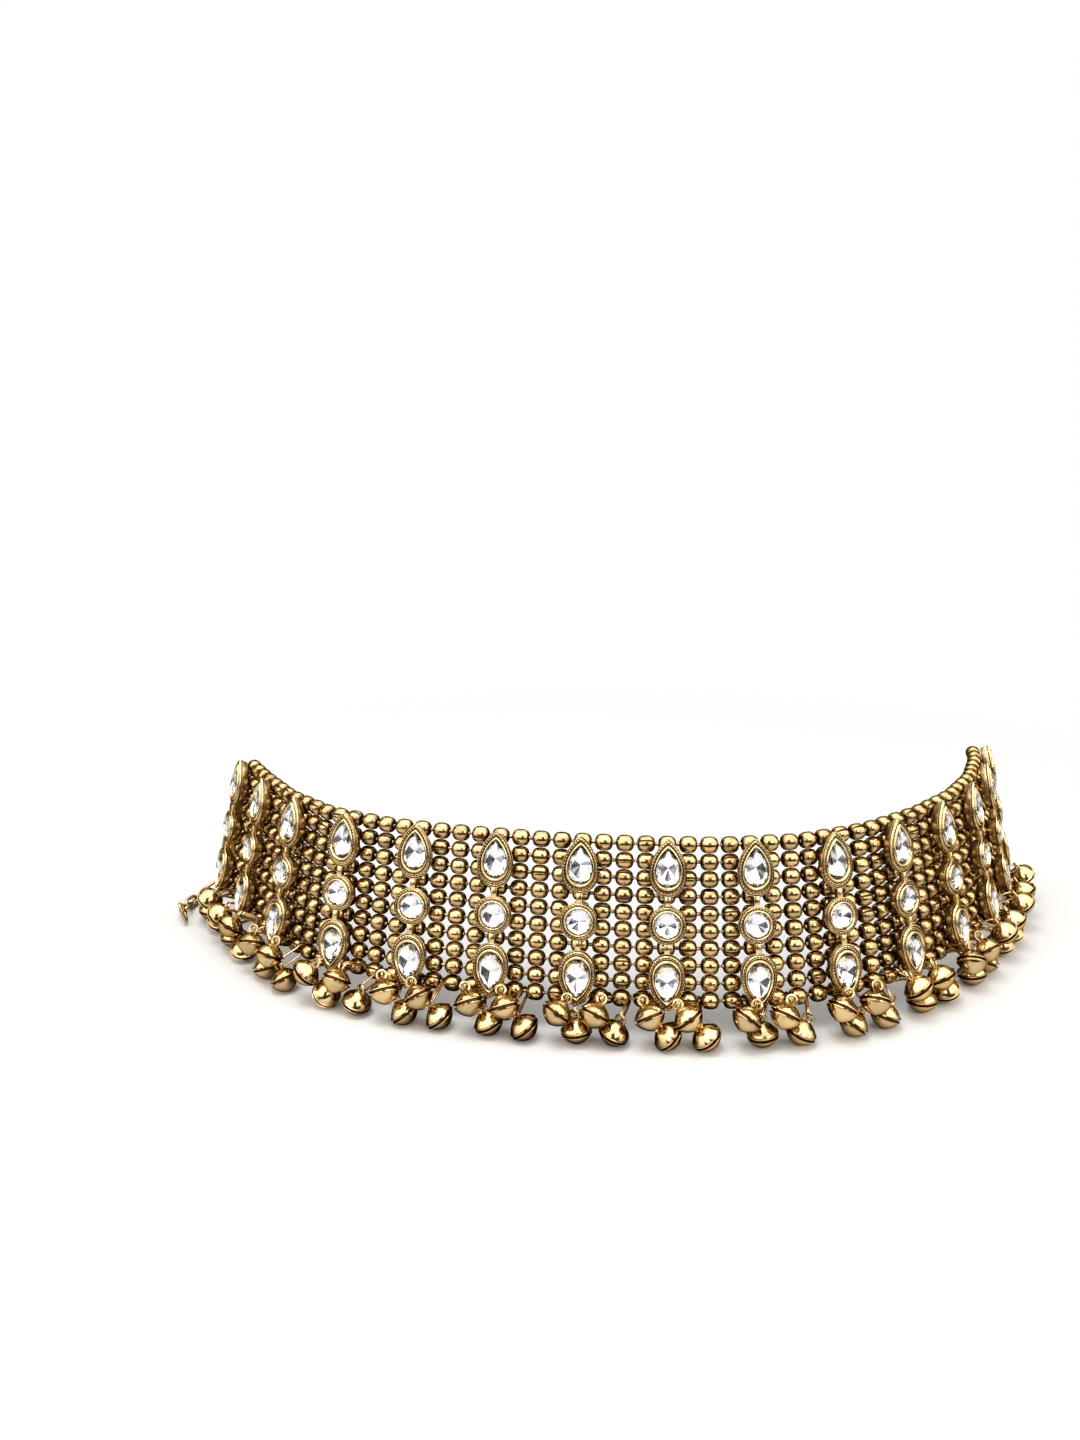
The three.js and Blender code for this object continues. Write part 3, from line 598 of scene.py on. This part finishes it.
def add_block(surface, unit, low, high, hollow):
    """A small block with its edges drawn in, between two corners in unit coordinates."""
    low, high = np.array(low), np.array(high)
    middle, half = (low + high) / 2, (high - low) / 2
    corner = np.array([[-1, -1], [1, -1], [1, 1], [-1, 1]], float)
    rings = []
    for depth, inset in ((-1, BLOCK_EASE), (-1 + BLOCK_EASE, 0), (1 - BLOCK_EASE, 0), (1, BLOCK_EASE)):
        square = corner * (half[[0, 2]] - inset * half[[0, 2]].min())
        rings.append(np.stack([square[:, 0], np.full(4, depth * half[1]), square[:, 1]], -1))
    points = np.vstack(rings) + middle
    faces = np.vstack([grid_faces(4, 4)[:, ::-1], [[0, 1, 2, 3]], [[15, 14, 13, 12]]])
    surface.add(unit.to_world(points), [faces], hollow=hollow)


def add_stone(surface, unit, shape, middle):
    """A cut stone: table, eight kites and stars, sixteen girdle faces, and a foiled cone behind."""
    outline = shape(16)
    rings = []
    for ring, (inset, depth) in zip((outline, shape(32)[2::4], outline[::2]), STONE_RINGS):
        ring = ring * (1 - inset / outline[:, 0].max())
        rings.append(np.stack([ring[:, 0], np.full(len(ring), CUP_FRONT + depth), ring[:, 1] + middle], -1))
    tips = np.array([[0, CUP_FRONT + depth, middle] for depth in STONE_TIPS])
    points = np.vstack([*rings, tips])
    g, b, t, top, culet = np.arange(16), 16 + np.arange(8), 24 + np.arange(8), 32, 33
    nxt = np.roll(np.arange(8), -1)
    even, odd, after = g[::2], g[1::2], np.roll(g[::2], -1)
    crown = np.vstack([
        np.stack([np.full(8, top), t, t[nxt]], -1),
        np.stack([t, b, t[nxt]], -1),
        np.stack([b, even, odd], -1),
        np.stack([b, odd, after], -1),
        np.stack([b, t, even], -1),
        np.stack([b, after, t[nxt]], -1)])
    cone = np.stack([np.full(16, culet), np.roll(g, -1), g], -1)
    surface.add(unit.to_world(points), (crown[:, ::-1], cone[:, ::-1]), kinds=(0, 1))


CUPS = ((pear_outline, STONE_SPACING), (round_outline, 0.0), (pear_upside_down, -STONE_SPACING))

for unit in units:
    cups, stones = Surface(), Surface()
    for shape, middle in CUPS:
        add_cup(cups, unit, shape(64), middle)
        add_stone(stones, unit, shape, middle)
        # The solder blocks behind the cups are painted darker, as painted shade.
        for height in (middle - SOLDER_HEIGHT, middle + SOLDER_HEIGHT):
            add_block(cups, unit, (-SOLDER_HALF, CUP_BACK - 0.2, height - SOLDER_HALF),
                      (SOLDER_HALF, SOLDER_BACK, height + SOLDER_HALF), hollow=0.6)
    for height in (-TAB_HEIGHT, TAB_HEIGHT):
        add_block(cups, unit, (-TAB_HALF_WIDTH, CUP_FRONT - 0.06, height - TAB_HALF_HEIGHT),
                  (TAB_HALF_WIDTH, CUP_BACK - 0.7, height + TAB_HALF_HEIGHT), hollow=0.1)
    finish_piece(cups, f"settings_{unit.label}", "setting_gold", f"band_unit_{unit.label}",
                 f"setting_column_{unit.label}", sharp_degrees=50)
    stone = stones.build(f"stones_{unit.label}", [crystal, foil], smooth=False)
    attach(stone, f"band_unit_{unit.label}")
print("stones:", len(units) * len(CUPS))

# %% [markdown]
# The fringe. Each bell is two thin domed shells whose rims leave a slit, with an eye on top and a
# loose pellet inside, and it hangs on a long jump ring from a pin of the bottom row. Low bells
# stand on the floor and high ones lie on top of them. Each sways a little to one side, but those
# beside a fold hang straight, so that they clear their neighbours.

# %% Bells
BELLS_PER_UNIT = 4
BELL_RADIUS, BELL_HALF, BELL_NECK = 2.9, 2.6, 0.6
BELL_HANG = BELL_NECK + BELL_HALF
RING_LENGTH, RING_WIDTH, RING_WIRE = 5.6, 2.4, 0.65
BOTTOM_ROW_HEIGHT, HIGH_BELL_RISE = 7.2, 4.4
LOW_OUT = (-0.06, 0.05, -0.1, 0.02, -0.04, 0.08, -0.02)
HIGH_OUT = (0.5, 0.55, 0.47, 0.52, 0.49)
TILT_ACROSS = 0.47
COMB_SIDES = (-1, -1, 1, -1, 1, 1, -1, 1, -1, -1, 1, -1, 1, 1, 1)
BELL_SWAY = 0.55
# The power of the solids' lower dome, on which a low bell stands, and those of the two shells.
LOWER_POWER, SHELL_POWERS = 1.75, (1.45, 1.55)
SLIT_HALF, SHELL_RADIUS, WELL_RADIUS, SHELL_WALL = 0.29, 2.84, 2.5, 0.28
SHELL_LIP = ((0.24, 2.87), (0.17, 2.98), (0.02, 3.0), (-0.03, 2.9), (0.0, 2.6))
# Painted shade along each shell, from its pole over the lip to the inner wall, which is painted fully dark.
SHELL_HOLLOW = [0.1, 0, 0, 0, 0, 0, 0, 0, 0.35, 0, 0, 0, 0.3, 0.8, 1, 1, 1, 1]


def dome(radius, height, power, steps):
    """Rounded cone from its pole down, as (height, radius): the shares of both, raised to the
    power, add up to one."""
    angle = np.linspace(0, np.pi / 2, steps)
    return np.stack([np.cos(angle) ** (2 / power) * height, np.sin(angle) ** (2 / power) * radius], -1)


def shell_profile(side, power):
    """Section of one shell: outer dome from the pole to the lip, and the inner wall back."""
    outer = dome(SHELL_RADIUS, BELL_HALF - SLIT_HALF, power, 9)[:-1]
    inner = dome(WELL_RADIUS, BELL_HALF - SLIT_HALF - SHELL_WALL, power, 6)[-2::-1]
    return (np.vstack([outer, SHELL_LIP, inner]) + [SLIT_HALF, 0]) * [side, 1]


def fringe_bells(unit):
    """Where the rings and bells of a unit are: (pin place, ring direction, bell direction, sway).
    A bell's own tilt makes up a share of its way across the unit, and the ring does the rest. The
    outer bells' eyes sway in. A low bell's middle is as high as the q-th root of the sum of two
    q-th powers, of its radius times the sine of its lean and of its half height times the cosine,
    where q is the power of its dome over that power less one."""
    outward = -unit.level
    z = -BAND_TOP
    comb = COMB_SIDES[unit.index]
    columns = columns_of(unit)
    margin = BELL_RADIUS + RUNNING_GAP / 2
    left = across(unit, FIRST_COLUMN - 0.5, z) + margin
    right = across(unit, LAST_COLUMN + 0.5, z) - margin
    q = LOWER_POWER / (LOWER_POWER - 1)
    last = BELLS_PER_UNIT - 1
    bells = []
    for order in range(BELLS_PER_UNIT):
        gap = FIRST_COLUMN + order - comb / 2
        edge = 0
        if unit.index > 0 and gap < FIRST_COLUMN:
            edge = -1
        elif unit.index < UNITS - 1 and gap > LAST_COLUMN:
            edge = 1
        elif not columns[0] < gap < columns[-1]:
            continue
        x = across(unit, gap, z) - edge * (RUNNING_GAP + RING_WIRE) / 2
        is_high = order % 2 == 0
        bell_across = left + (right - left) * order / last
        shares = HIGH_OUT if is_high else LOW_OUT
        ahead = shares[(unit.index + order) % len(shares)]
        aside = TILT_ACROSS * (bell_across - x) / BELL_HANG
        fall = math.sqrt(1 - aside ** 2 - ahead ** 2)
        down = unit.x * aside + outward * ahead - UP * fall
        support = ((BELL_RADIUS * math.sqrt(1 - fall ** 2)) ** q + (BELL_HALF * fall) ** q) ** (1 / q)
        middle = BELL_HALF + HIGH_BELL_RISE if is_high else support
        drop = BOTTOM_ROW_HEIGHT - middle - BELL_HANG * fall
        ring_aside = bell_across - x - BELL_HANG * aside
        ring_ahead = math.sqrt(RING_LENGTH ** 2 - drop ** 2 - ring_aside ** 2)
        reach = (unit.x * ring_aside + outward * ring_ahead - UP * drop) / RING_LENGTH
        sway = seeded.uniform(-1, 1) * BELL_SWAY
        if order == 0:
            sway = -abs(sway)
        elif order == last:
            sway = abs(sway)
        bells.append((unit.place(x, 0.0, z), reach, down, 0.0 if edge else sway))
    return bells


def perpendicular(vector, axis):
    """The part of a vector across an axis, made one long."""
    rest = vector - axis * (vector @ axis)
    return rest / np.linalg.norm(rest)


UPPER_SHELL, LOWER_SHELL = shell_profile(-1, SHELL_POWERS[0]), shell_profile(1, SHELL_POWERS[1])
PELLET = np.array([(-0.8, 0), (-0.6, 0.53), (0, 0.8), (0.6, 0.53), (0.8, 0)])
PELLET_DROP, PELLET_ASIDE = 1.4, 0.3
EYE_WIRE, EYE_SINK = 0.26, 0.02
EYE = np.stack([0.9 * np.cos(full_turn(16)), 0.92 * np.sin(full_turn(16))], -1)
COLLAR_TURN, COLLAR_STEPS = 2.4, 21
COLLAR = np.array([(-0.5, 2.42), (0.5, 2.42), (0.5, 2.53), (-0.5, 2.53)])
RING_LIE = (0.35, 0.7)
# How much shorter a jump ring is than its solid, how far each of its two wires is from the middle
# and their radius: for bells that sway, and for those beside a fold.
SWAYING_RING, STRAIGHT_RING = (0.05, 0.2, 0.2), (0.18, 0.08, 0.16)


def add_bell(bells, rings, pin, reach, down, sway):
    """One bell with its eye and pellet, and its jump ring round the pin. The bell sways to one side about its
    own middle, and the ring turns after its eye. A band of metal inside, painted fully dark, shades the slit
    as painted shade."""
    tone = seeded.random()
    middle = pin + reach * RING_LENGTH + down * BELL_HANG
    front = perpendicular(perpendicular(UP, reach) + reach, down)
    side = np.cross(front, down)
    down, side = (down * math.cos(sway) + side * math.sin(sway),
                  side * math.cos(sway) - down * math.sin(sway))
    neck = middle - down * BELL_HANG
    ring_length = np.linalg.norm(neck - pin)
    reach = (neck - pin) / ring_length
    spin = seeded.random() * 0.3
    add_turned(bells, UPPER_SHELL, 32, middle, down, front, tone, SHELL_HOLLOW, spin=spin)
    add_turned(bells, LOWER_SHELL[::-1], 32, middle, down, front, tone, SHELL_HOLLOW[::-1], spin=spin)
    pellet_place = middle + down * PELLET_DROP + side * PELLET_ASIDE
    add_turned(bells, PELLET, 8, pellet_place, down, front, 0.1, [0.7, 0.7])
    eye = laid_out(neck + down * EYE_SINK, EYE, down, side)
    add_wire(bells, eye, front, EYE_WIRE, 7, tone=tone, hollow=0.1)
    bend = np.linspace(-COLLAR_TURN, COLLAR_TURN, COLLAR_STEPS)
    out = np.outer(np.cos(bend), front) + np.outer(np.sin(bend), side)
    collar = middle + out[:, None] * COLLAR[None, :, 1:] + down * COLLAR[None, :, :1]
    end = 4 * COLLAR_STEPS
    faces = np.vstack([grid_faces(COLLAR_STEPS, 4), [[3, 2, 1, 0]], [[end - 4, end - 3, end - 2, end - 1]]])
    # The band inside is painted fully dark: painted shade seen through the slit.
    bells.add(collar, [faces[:, ::-1]], None, tone, 1.0)
    ring_up = perpendicular(UP, reach)
    lie = seeded.choice([-1, 1]) * seeded.uniform(*RING_LIE)
    if not sway:
        lie = 0.0
    ring_up = ring_up * math.cos(lie) + np.cross(reach, ring_up) * math.sin(lie)
    flat = np.cross(ring_up, reach)
    shorter, apart, wire = SWAYING_RING if sway else STRAIGHT_RING
    length = ring_length + PIN_RADIUS - shorter
    oval = oval_path(length, RING_WIDTH - RING_WIRE, 22)
    path = laid_out(pin + reach * (ring_length - (length + RING_WIRE) / 2 + 0.1), oval, reach, ring_up)
    for shift in (-apart, apart):
        add_wire(rings, path + flat * shift, flat, wire, 7, tone=tone, hollow=0.05)


bell_count = 0
for unit in units:
    bells, rings, bottom = Surface(), Surface(), Surface()
    for bell in fringe_bells(unit):
        add_bell(bells, rings, *bell)
        bell_count += 1
    add_row(bottom, unit, ROWS - 1)
    body, node = f"fringe_{unit.label}", f"bell_fringe_{unit.label}"
    finish_piece(bells, f"bells_{unit.label}", "bell_gold", body, node, sharp_degrees=40)
    finish_piece(rings, f"jump_rings_{unit.label}", "bell_gold", body, node)
    finish_piece(bottom, f"bottom_row_{unit.label}", "bead_gold", body, node)
print("bells:", bell_count)

# %% [markdown]
# The ends. A flat plate closes each end of the band; a chain of twisted oval links and a wire hook
# hang from the left plate and a ring to hook into from the right one.

# %% Chain, hook, catch ring and end plates
LINKS = 10
LINK_LENGTH, LINK_WIDTH, LINK_WIRE = 5.4, 3.4, 0.9
LINK_EASE, LINK_RADIUS, LINK_TWIST, LINK_LIFT = 0.16, 0.4, 0.42, 0.3
HOOK_EYE, HOOK_LENGTH, CATCH_WIDTH, WIRE, WIRE_RADIUS = 3.3, 5.2, 5.0, 0.9, 0.43
HOOK_BOW = np.array([(0.22, 0.12), (0.5, 0.4), (0.86, 0.38), (0.94, 0), (0.84, -0.38), (0.52, -0.34),
                     (0.46, -0.12)])


def node_points(name):
    """Corner points of a solid, in millimetres."""
    mesh = frame["nodes"][name].data
    values = np.empty(len(mesh.vertices) * 3)
    mesh.vertices.foreach_get("co", values)
    return values.reshape(-1, 3) / MM


def middle_of(name):
    """Middle of a solid's box, in millimetres."""
    points = node_points(name)
    return (points.min(0) + points.max(0)) / 2


def joint_place(name):
    """Where a joint is, in millimetres."""
    return np.array(joints[name]["pos_m"]) / MM


def joint_axis(name):
    """Direction of a joint's axis."""
    axis = np.array(joints[name]["axis"], float)
    return axis / np.linalg.norm(axis)


def smooth_path(points, steps):
    """Points on a smooth curve through the given ones, spaced evenly by number: between two of
    them it is a cubic of these and their neighbours."""
    fine = np.linspace(0, len(points) - 1, steps)
    before = np.clip(np.floor(fine).astype(int), 0, len(points) - 2)
    t = (fine - before)[:, None]
    p0, p1, p2, p3 = (points[np.clip(before + shift, 0, len(points) - 1)] for shift in (-1, 0, 1, 2))
    curve = 2 * p1 + (p2 - p0) * t + (2 * p0 - 5 * p1 + 4 * p2 - p3) * t ** 2
    return 0.5 * (curve + (3 * p1 - p0 - 3 * p2 + p3) * t ** 3)


chain_ends = [joint_place(f"chain_swing_{k:02d}") for k in range(1, LINKS + 1)] + [joint_place("hook_swing")]
for k in range(1, LINKS + 1):
    node = f"chain_link_{k:02d}"
    centre = middle_of(node)
    flat = joint_axis(f"chain_swing_{k:02d}")
    along = perpendicular(chain_ends[k] - centre, flat)
    if k == 1:
        flat = perpendicular(units[0].x, along)
    wide = np.cross(flat, along)
    oval = oval_path(LINK_LENGTH - LINK_WIRE - LINK_EASE, LINK_WIDTH - LINK_WIRE - LINK_EASE, 28)
    twist = LINK_TWIST * oval[:, 0] / (LINK_LENGTH / 2)
    lift = oval[:, 1] * np.sin(twist) * (0.0 if k == 2 else LINK_LIFT)
    oval[:, 1] *= np.cos(twist)
    path = laid_out(centre, oval, along, wide) + np.outer(lift, flat)
    surface = Surface()
    add_wire(surface, path, flat, LINK_RADIUS, 10, tone=seeded.random(), hollow=0.1)
    finish_piece(surface, f"link_{k:02d}", "chain_gold", node, node)

hook_points = node_points("hook")
hook_start, hook_middle = joint_place("hook_swing"), hook_points.mean(0)
hook_along, _, hook_flat = np.linalg.svd(hook_points - hook_middle, full_matrices=False)[2]
hook_along = hook_along * np.sign((hook_middle - hook_start) @ hook_along)
hook_flat = hook_flat * np.sign(hook_flat[0])
hook_wide = np.cross(hook_flat, hook_along)
nearest = ((hook_points - hook_start) @ hook_along).min()
eye_middle = hook_start + hook_along * (nearest + HOOK_EYE / 2)
surface = Surface()
eye = oval_path(HOOK_EYE - WIRE, HOOK_EYE - WIRE, 20)
add_wire(surface, laid_out(eye_middle, eye, hook_along, hook_wide), hook_flat, WIRE_RADIUS, 10)
bow = smooth_path(HOOK_BOW, 44) * HOOK_LENGTH
taper = np.interp(np.linspace(0, 1, len(bow)), [0, 0.1, 0.85, 1], [WIRE_RADIUS, WIRE_RADIUS, 0.4, 0.2])
add_wire(surface, laid_out(eye_middle, bow, hook_along, hook_wide), hook_flat, taper, 10, closed=False)
finish_piece(surface, "wire_hook", "chain_gold", "hook", "hook")

catch_out = perpendicular(-units[-1].y, -UP)
surface = Surface()
circle = oval_path(CATCH_WIDTH - WIRE, CATCH_WIDTH - WIRE, 32)
add_wire(surface, laid_out(middle_of("catch_ring"), circle, -UP, catch_out), np.cross(-UP, catch_out),
         WIRE_RADIUS, 10)
finish_piece(surface, "ring_to_hook_into", "chain_gold", "catch_ring", "catch_ring")

PLATE_EDGE = (BALL_PITCH + RUNNING_GAP) / 2
PLATE_REACH, PLATE_NOSE, PLATE_HOLE, PLATE_THICK = 8.4, 2.2, 1.15, 0.72
PLATE_STEPS, PLATE_EASE, HOLE_EASE = 96, 0.14, 0.1
CAP = (ROW_PITCH - RUNNING_GAP) / 2
PLATE_TOP, PLATE_BOTTOM = BAND_TOP + CAP, -BAND_TOP + ROW_PITCH - CAP


def add_plate(surface, unit, side):
    """Flat end plate with a rounded nose and a hole: rings between the hole and the outline, which
    lies where a ray from the hole meets the nearest edge line, or on the nose."""
    hole = np.array([PLATE_EDGE + PLATE_REACH, (PLATE_TOP + PLATE_BOTTOM) / 2])
    angle = full_turn(PLATE_STEPS, 0.5)
    ray = np.stack([np.cos(angle), np.sin(angle)], -1)
    corners = np.array([(PLATE_EDGE, PLATE_BOTTOM), (PLATE_EDGE, PLATE_TOP),
                        (hole[0], hole[1] + PLATE_NOSE), (hole[0], hole[1] - PLATE_NOSE)]) - hole
    far = np.full(PLATE_STEPS, PLATE_NOSE)
    is_back = ray[:, 0] < 0
    for a, b in ((0, 1), (1, 2), (3, 0)):
        edge = corners[b] - corners[a]
        normal = np.array([-edge[1], edge[0]])
        reach = (corners[a] @ normal) / (ray @ normal + 1e-12)
        good = is_back & (reach > 0)
        far = np.where(good & ((far == PLATE_NOSE) | (reach < far)), reach, far)
    outline, inner = ray * far[:, None], ray * PLATE_HOLE
    drawn_in, widened = outline * (1 - PLATE_EASE / far[:, None]), inner * (1 + HOLE_EASE)
    half = PLATE_THICK / 2
    rings = ((inner, HOLE_EASE - half), (widened, -half), (drawn_in, -half), (outline, PLATE_EASE - half),
             (outline, half - PLATE_EASE), (drawn_in, half), (widened, half), (inner, half - HOLE_EASE))
    points = []
    for ring, y in rings:
        x, z = side * (hole[0] + ring[:, 0]), hole[1] + ring[:, 1]
        points.append(np.stack([x, np.full(PLATE_STEPS, y), z], -1))
    points = np.vstack(points)
    faces = grid_faces(len(rings), PLATE_STEPS, wrap_rows=True)
    faces = faces if side < 0 else faces[:, ::-1]
    surface.add(unit.to_world(points), [faces], points[:, [0, 2]] / 10, 0.5, 0.05, turn=1000)


for unit, side, name in ((units[0], -1, "left"), (units[-1], 1, "right")):
    surface = Surface()
    add_plate(surface, unit, side)
    finish_piece(surface, f"plate_{name}", "chain_gold", f"band_unit_{unit.label}", f"end_plate_{name}",
                 sharp_degrees=35)
print("links:", LINKS, "and a hook, a catch ring and two plates")

# %% [markdown]
# The floor, the light and the camera. The object stands on a white floor that fades into a white
# background; a large soft light hangs over it, and the room around is darker, so that the polished
# metal has something bright and something dark to reflect.

# %% Floor, light and camera
def circle_through(points):
    """Middle and radius of the circle through three points: equal distances give two equations."""
    a, b, c = points
    middle = np.linalg.solve(2 * np.array([b - a, c - a]), [b @ b - a @ a, c @ c - a @ a])
    return middle, np.linalg.norm(middle - a)


def make_floor():
    """White floor that keeps the shadow near the object and is plain white far from it. To polished metal it
    is painted nearly black inside the arc and away from the object: a painted dark reflection."""
    size = 3.0
    mesh = bpy.data.meshes.new("floor")
    corners = [(-size, -size, 0), (size, -size, 0), (size, size, 0), (-size, size, 0)]
    mesh.from_pydata(corners, [], [(0, 1, 2, 3)])
    floor = bpy.data.objects.new("floor", mesh)
    bpy.context.scene.collection.objects.link(floor)
    material, tree, shader = new_material("floor_white")
    place = add_node(tree, "TexCoord").outputs["Object"]
    path = add_node(tree, "LightPath").outputs
    middle, radius = circle_through([unit.place(0, 0, -BAND_TOP)[:2] for unit in units[::7]])
    away = add_node(tree, "VectorMath", {0: place, 1: (*middle * MM, 0)}, operation="DISTANCE")
    far = add_node(tree, "VectorMath", {0: place}, operation="LENGTH").outputs["Value"]
    # Painted reflection: only glossy rays see the floor nearly black, inside the arc and far from the object.
    dark = math_node(tree, "MULTIPLY", ramp_of(tree, parts_of(tree, place)["Y"], 0.12, 0.06),
                     ramp_of(tree, away.outputs["Value"], (radius + 13) * MM, (radius + 3) * MM))
    dark = math_node(tree, "MAXIMUM", dark, ramp_of(tree, far, 0.15, 0.22))
    dark = math_node(tree, "MULTIPLY", dark, path["Is Glossy Ray"])
    colour = mix_colors(tree, dark, (0.93, 0.93, 0.93, 1), (0.03, 0.02, 0.014, 1))
    feed(tree, shader, {"Roughness": 0.9, "Specular IOR Level": 0.1, "Base Color": colour})
    share = math_node(tree, "MULTIPLY", ramp_of(tree, far, 0.14, 0.3), path["Is Camera Ray"])
    glow = add_node(tree, "Emission", {"Color": (1, 1, 1, 1), "Strength": 1.0})
    mix = add_node(tree, "MixShader", {0: share, 1: shader.outputs[0], 2: glow.outputs[0]})
    feed(tree, tree.nodes["Material Output"], {"Surface": mix.outputs[0]})
    mesh.materials.append(material)


def make_world():
    """White to the camera. To everything else a dark room with a bright ceiling and bright panels,
    high up and at both sides, in front and more faintly behind; dull surfaces see a third of it."""
    world = bpy.data.worlds.new("room")
    bpy.context.scene.world = world
    world.use_nodes = True
    tree = world.node_tree
    tree.nodes.clear()
    parts = parts_of(tree, add_node(tree, "TexCoord").outputs["Generated"])
    path = add_node(tree, "LightPath").outputs
    ceiling = ramp_of(tree, parts["Z"], 0.62, 0.8)
    behind = math_node(tree, "MULTIPLY", ramp_of(tree, parts["Y"], 0.5, 0.8), 0.4)
    facing = math_node(tree, "MAXIMUM", ramp_of(tree, parts["Y"], 0.35, 0.0), behind)
    aside = math_node(tree, "ABSOLUTE", parts["X"])
    high = math_node(tree, "MULTIPLY", ramp_of(tree, parts["Z"], 0.2, 0.42), ramp_of(tree, aside, 0.1, 0.3))
    low = math_node(tree, "MULTIPLY", ramp_of(tree, aside, 0.62, 0.8), 0.7)
    panels = math_node(tree, "MULTIPLY", math_node(tree, "MAXIMUM", high, low), facing)
    shine = math_node(tree, "MULTIPLY_ADD", path["Is Diffuse Ray"], -1.9, 2.8)
    strength = math_node(tree, "MULTIPLY_ADD", math_node(tree, "MAXIMUM", ceiling, panels), shine, 0.03)
    room = add_node(tree, "Background", {"Color": (1.0, 0.985, 0.96, 1), "Strength": strength})
    white = add_node(tree, "Background", {"Color": (1, 1, 1, 1), "Strength": 1.0})
    mix = add_node(tree, "MixShader", {0: path["Is Camera Ray"], 1: room.outputs[0], 2: white.outputs[0]})
    add_node(tree, "OutputWorld", {"Surface": mix.outputs[0]})


def add_area(name, place, target, size, power):
    """A rectangular soft light at a place, turned to a target, both in millimetres."""
    light = bpy.data.lights.new(name, "AREA")
    light.shape = "RECTANGLE"
    light.size, light.size_y = size[0] * MM, size[1] * MM
    light.energy = power
    lamp = bpy.data.objects.new(name, light)
    lamp.location = Vector(place) * MM
    lamp.rotation_euler = (Vector(target) - Vector(place)).to_track_quat("-Z", "Y").to_euler()
    bpy.context.scene.collection.objects.link(lamp)


def add_camera(place, yaw, pitch, roll):
    """The camera at the photograph's angle, from a fit of the stone columns."""
    yaw, pitch, roll = (math.radians(angle) for angle in (yaw, pitch, roll))
    forward = Vector((math.sin(yaw) * math.cos(pitch), math.cos(yaw) * math.cos(pitch), -math.sin(pitch)))
    right = Vector((math.cos(yaw), -math.sin(yaw), 0))
    up = right.cross(forward)
    right, up = (math.cos(roll) * right + math.sin(roll) * up, -math.sin(roll) * right + math.cos(roll) * up)
    data = bpy.data.cameras.new("camera")
    data.lens, data.sensor_width = 27.5, 36
    data.clip_start, data.clip_end = 0.01, 20
    camera = bpy.data.objects.new("camera", data)
    turn = Matrix((right, up, -forward)).transposed().to_4x4()
    camera.matrix_world = Matrix.Translation(Vector(place) * MM) @ turn
    bpy.context.scene.collection.objects.link(camera)
    bpy.context.scene.camera = camera


make_floor()
make_world()
add_area("overhead", (-70, -110, 420), (0, 0, 10), (200, 130), 0.62)
add_area("front_fill", (190, -330, 230), (0, -10, 15), (70, 50), 0.1)
add_camera((-28.54, -220.36, 112.47), 2.71, 14.78, -0.2)
bpy.context.scene.view_settings.view_transform = "Standard"
print("floor, room, two lights and a camera")
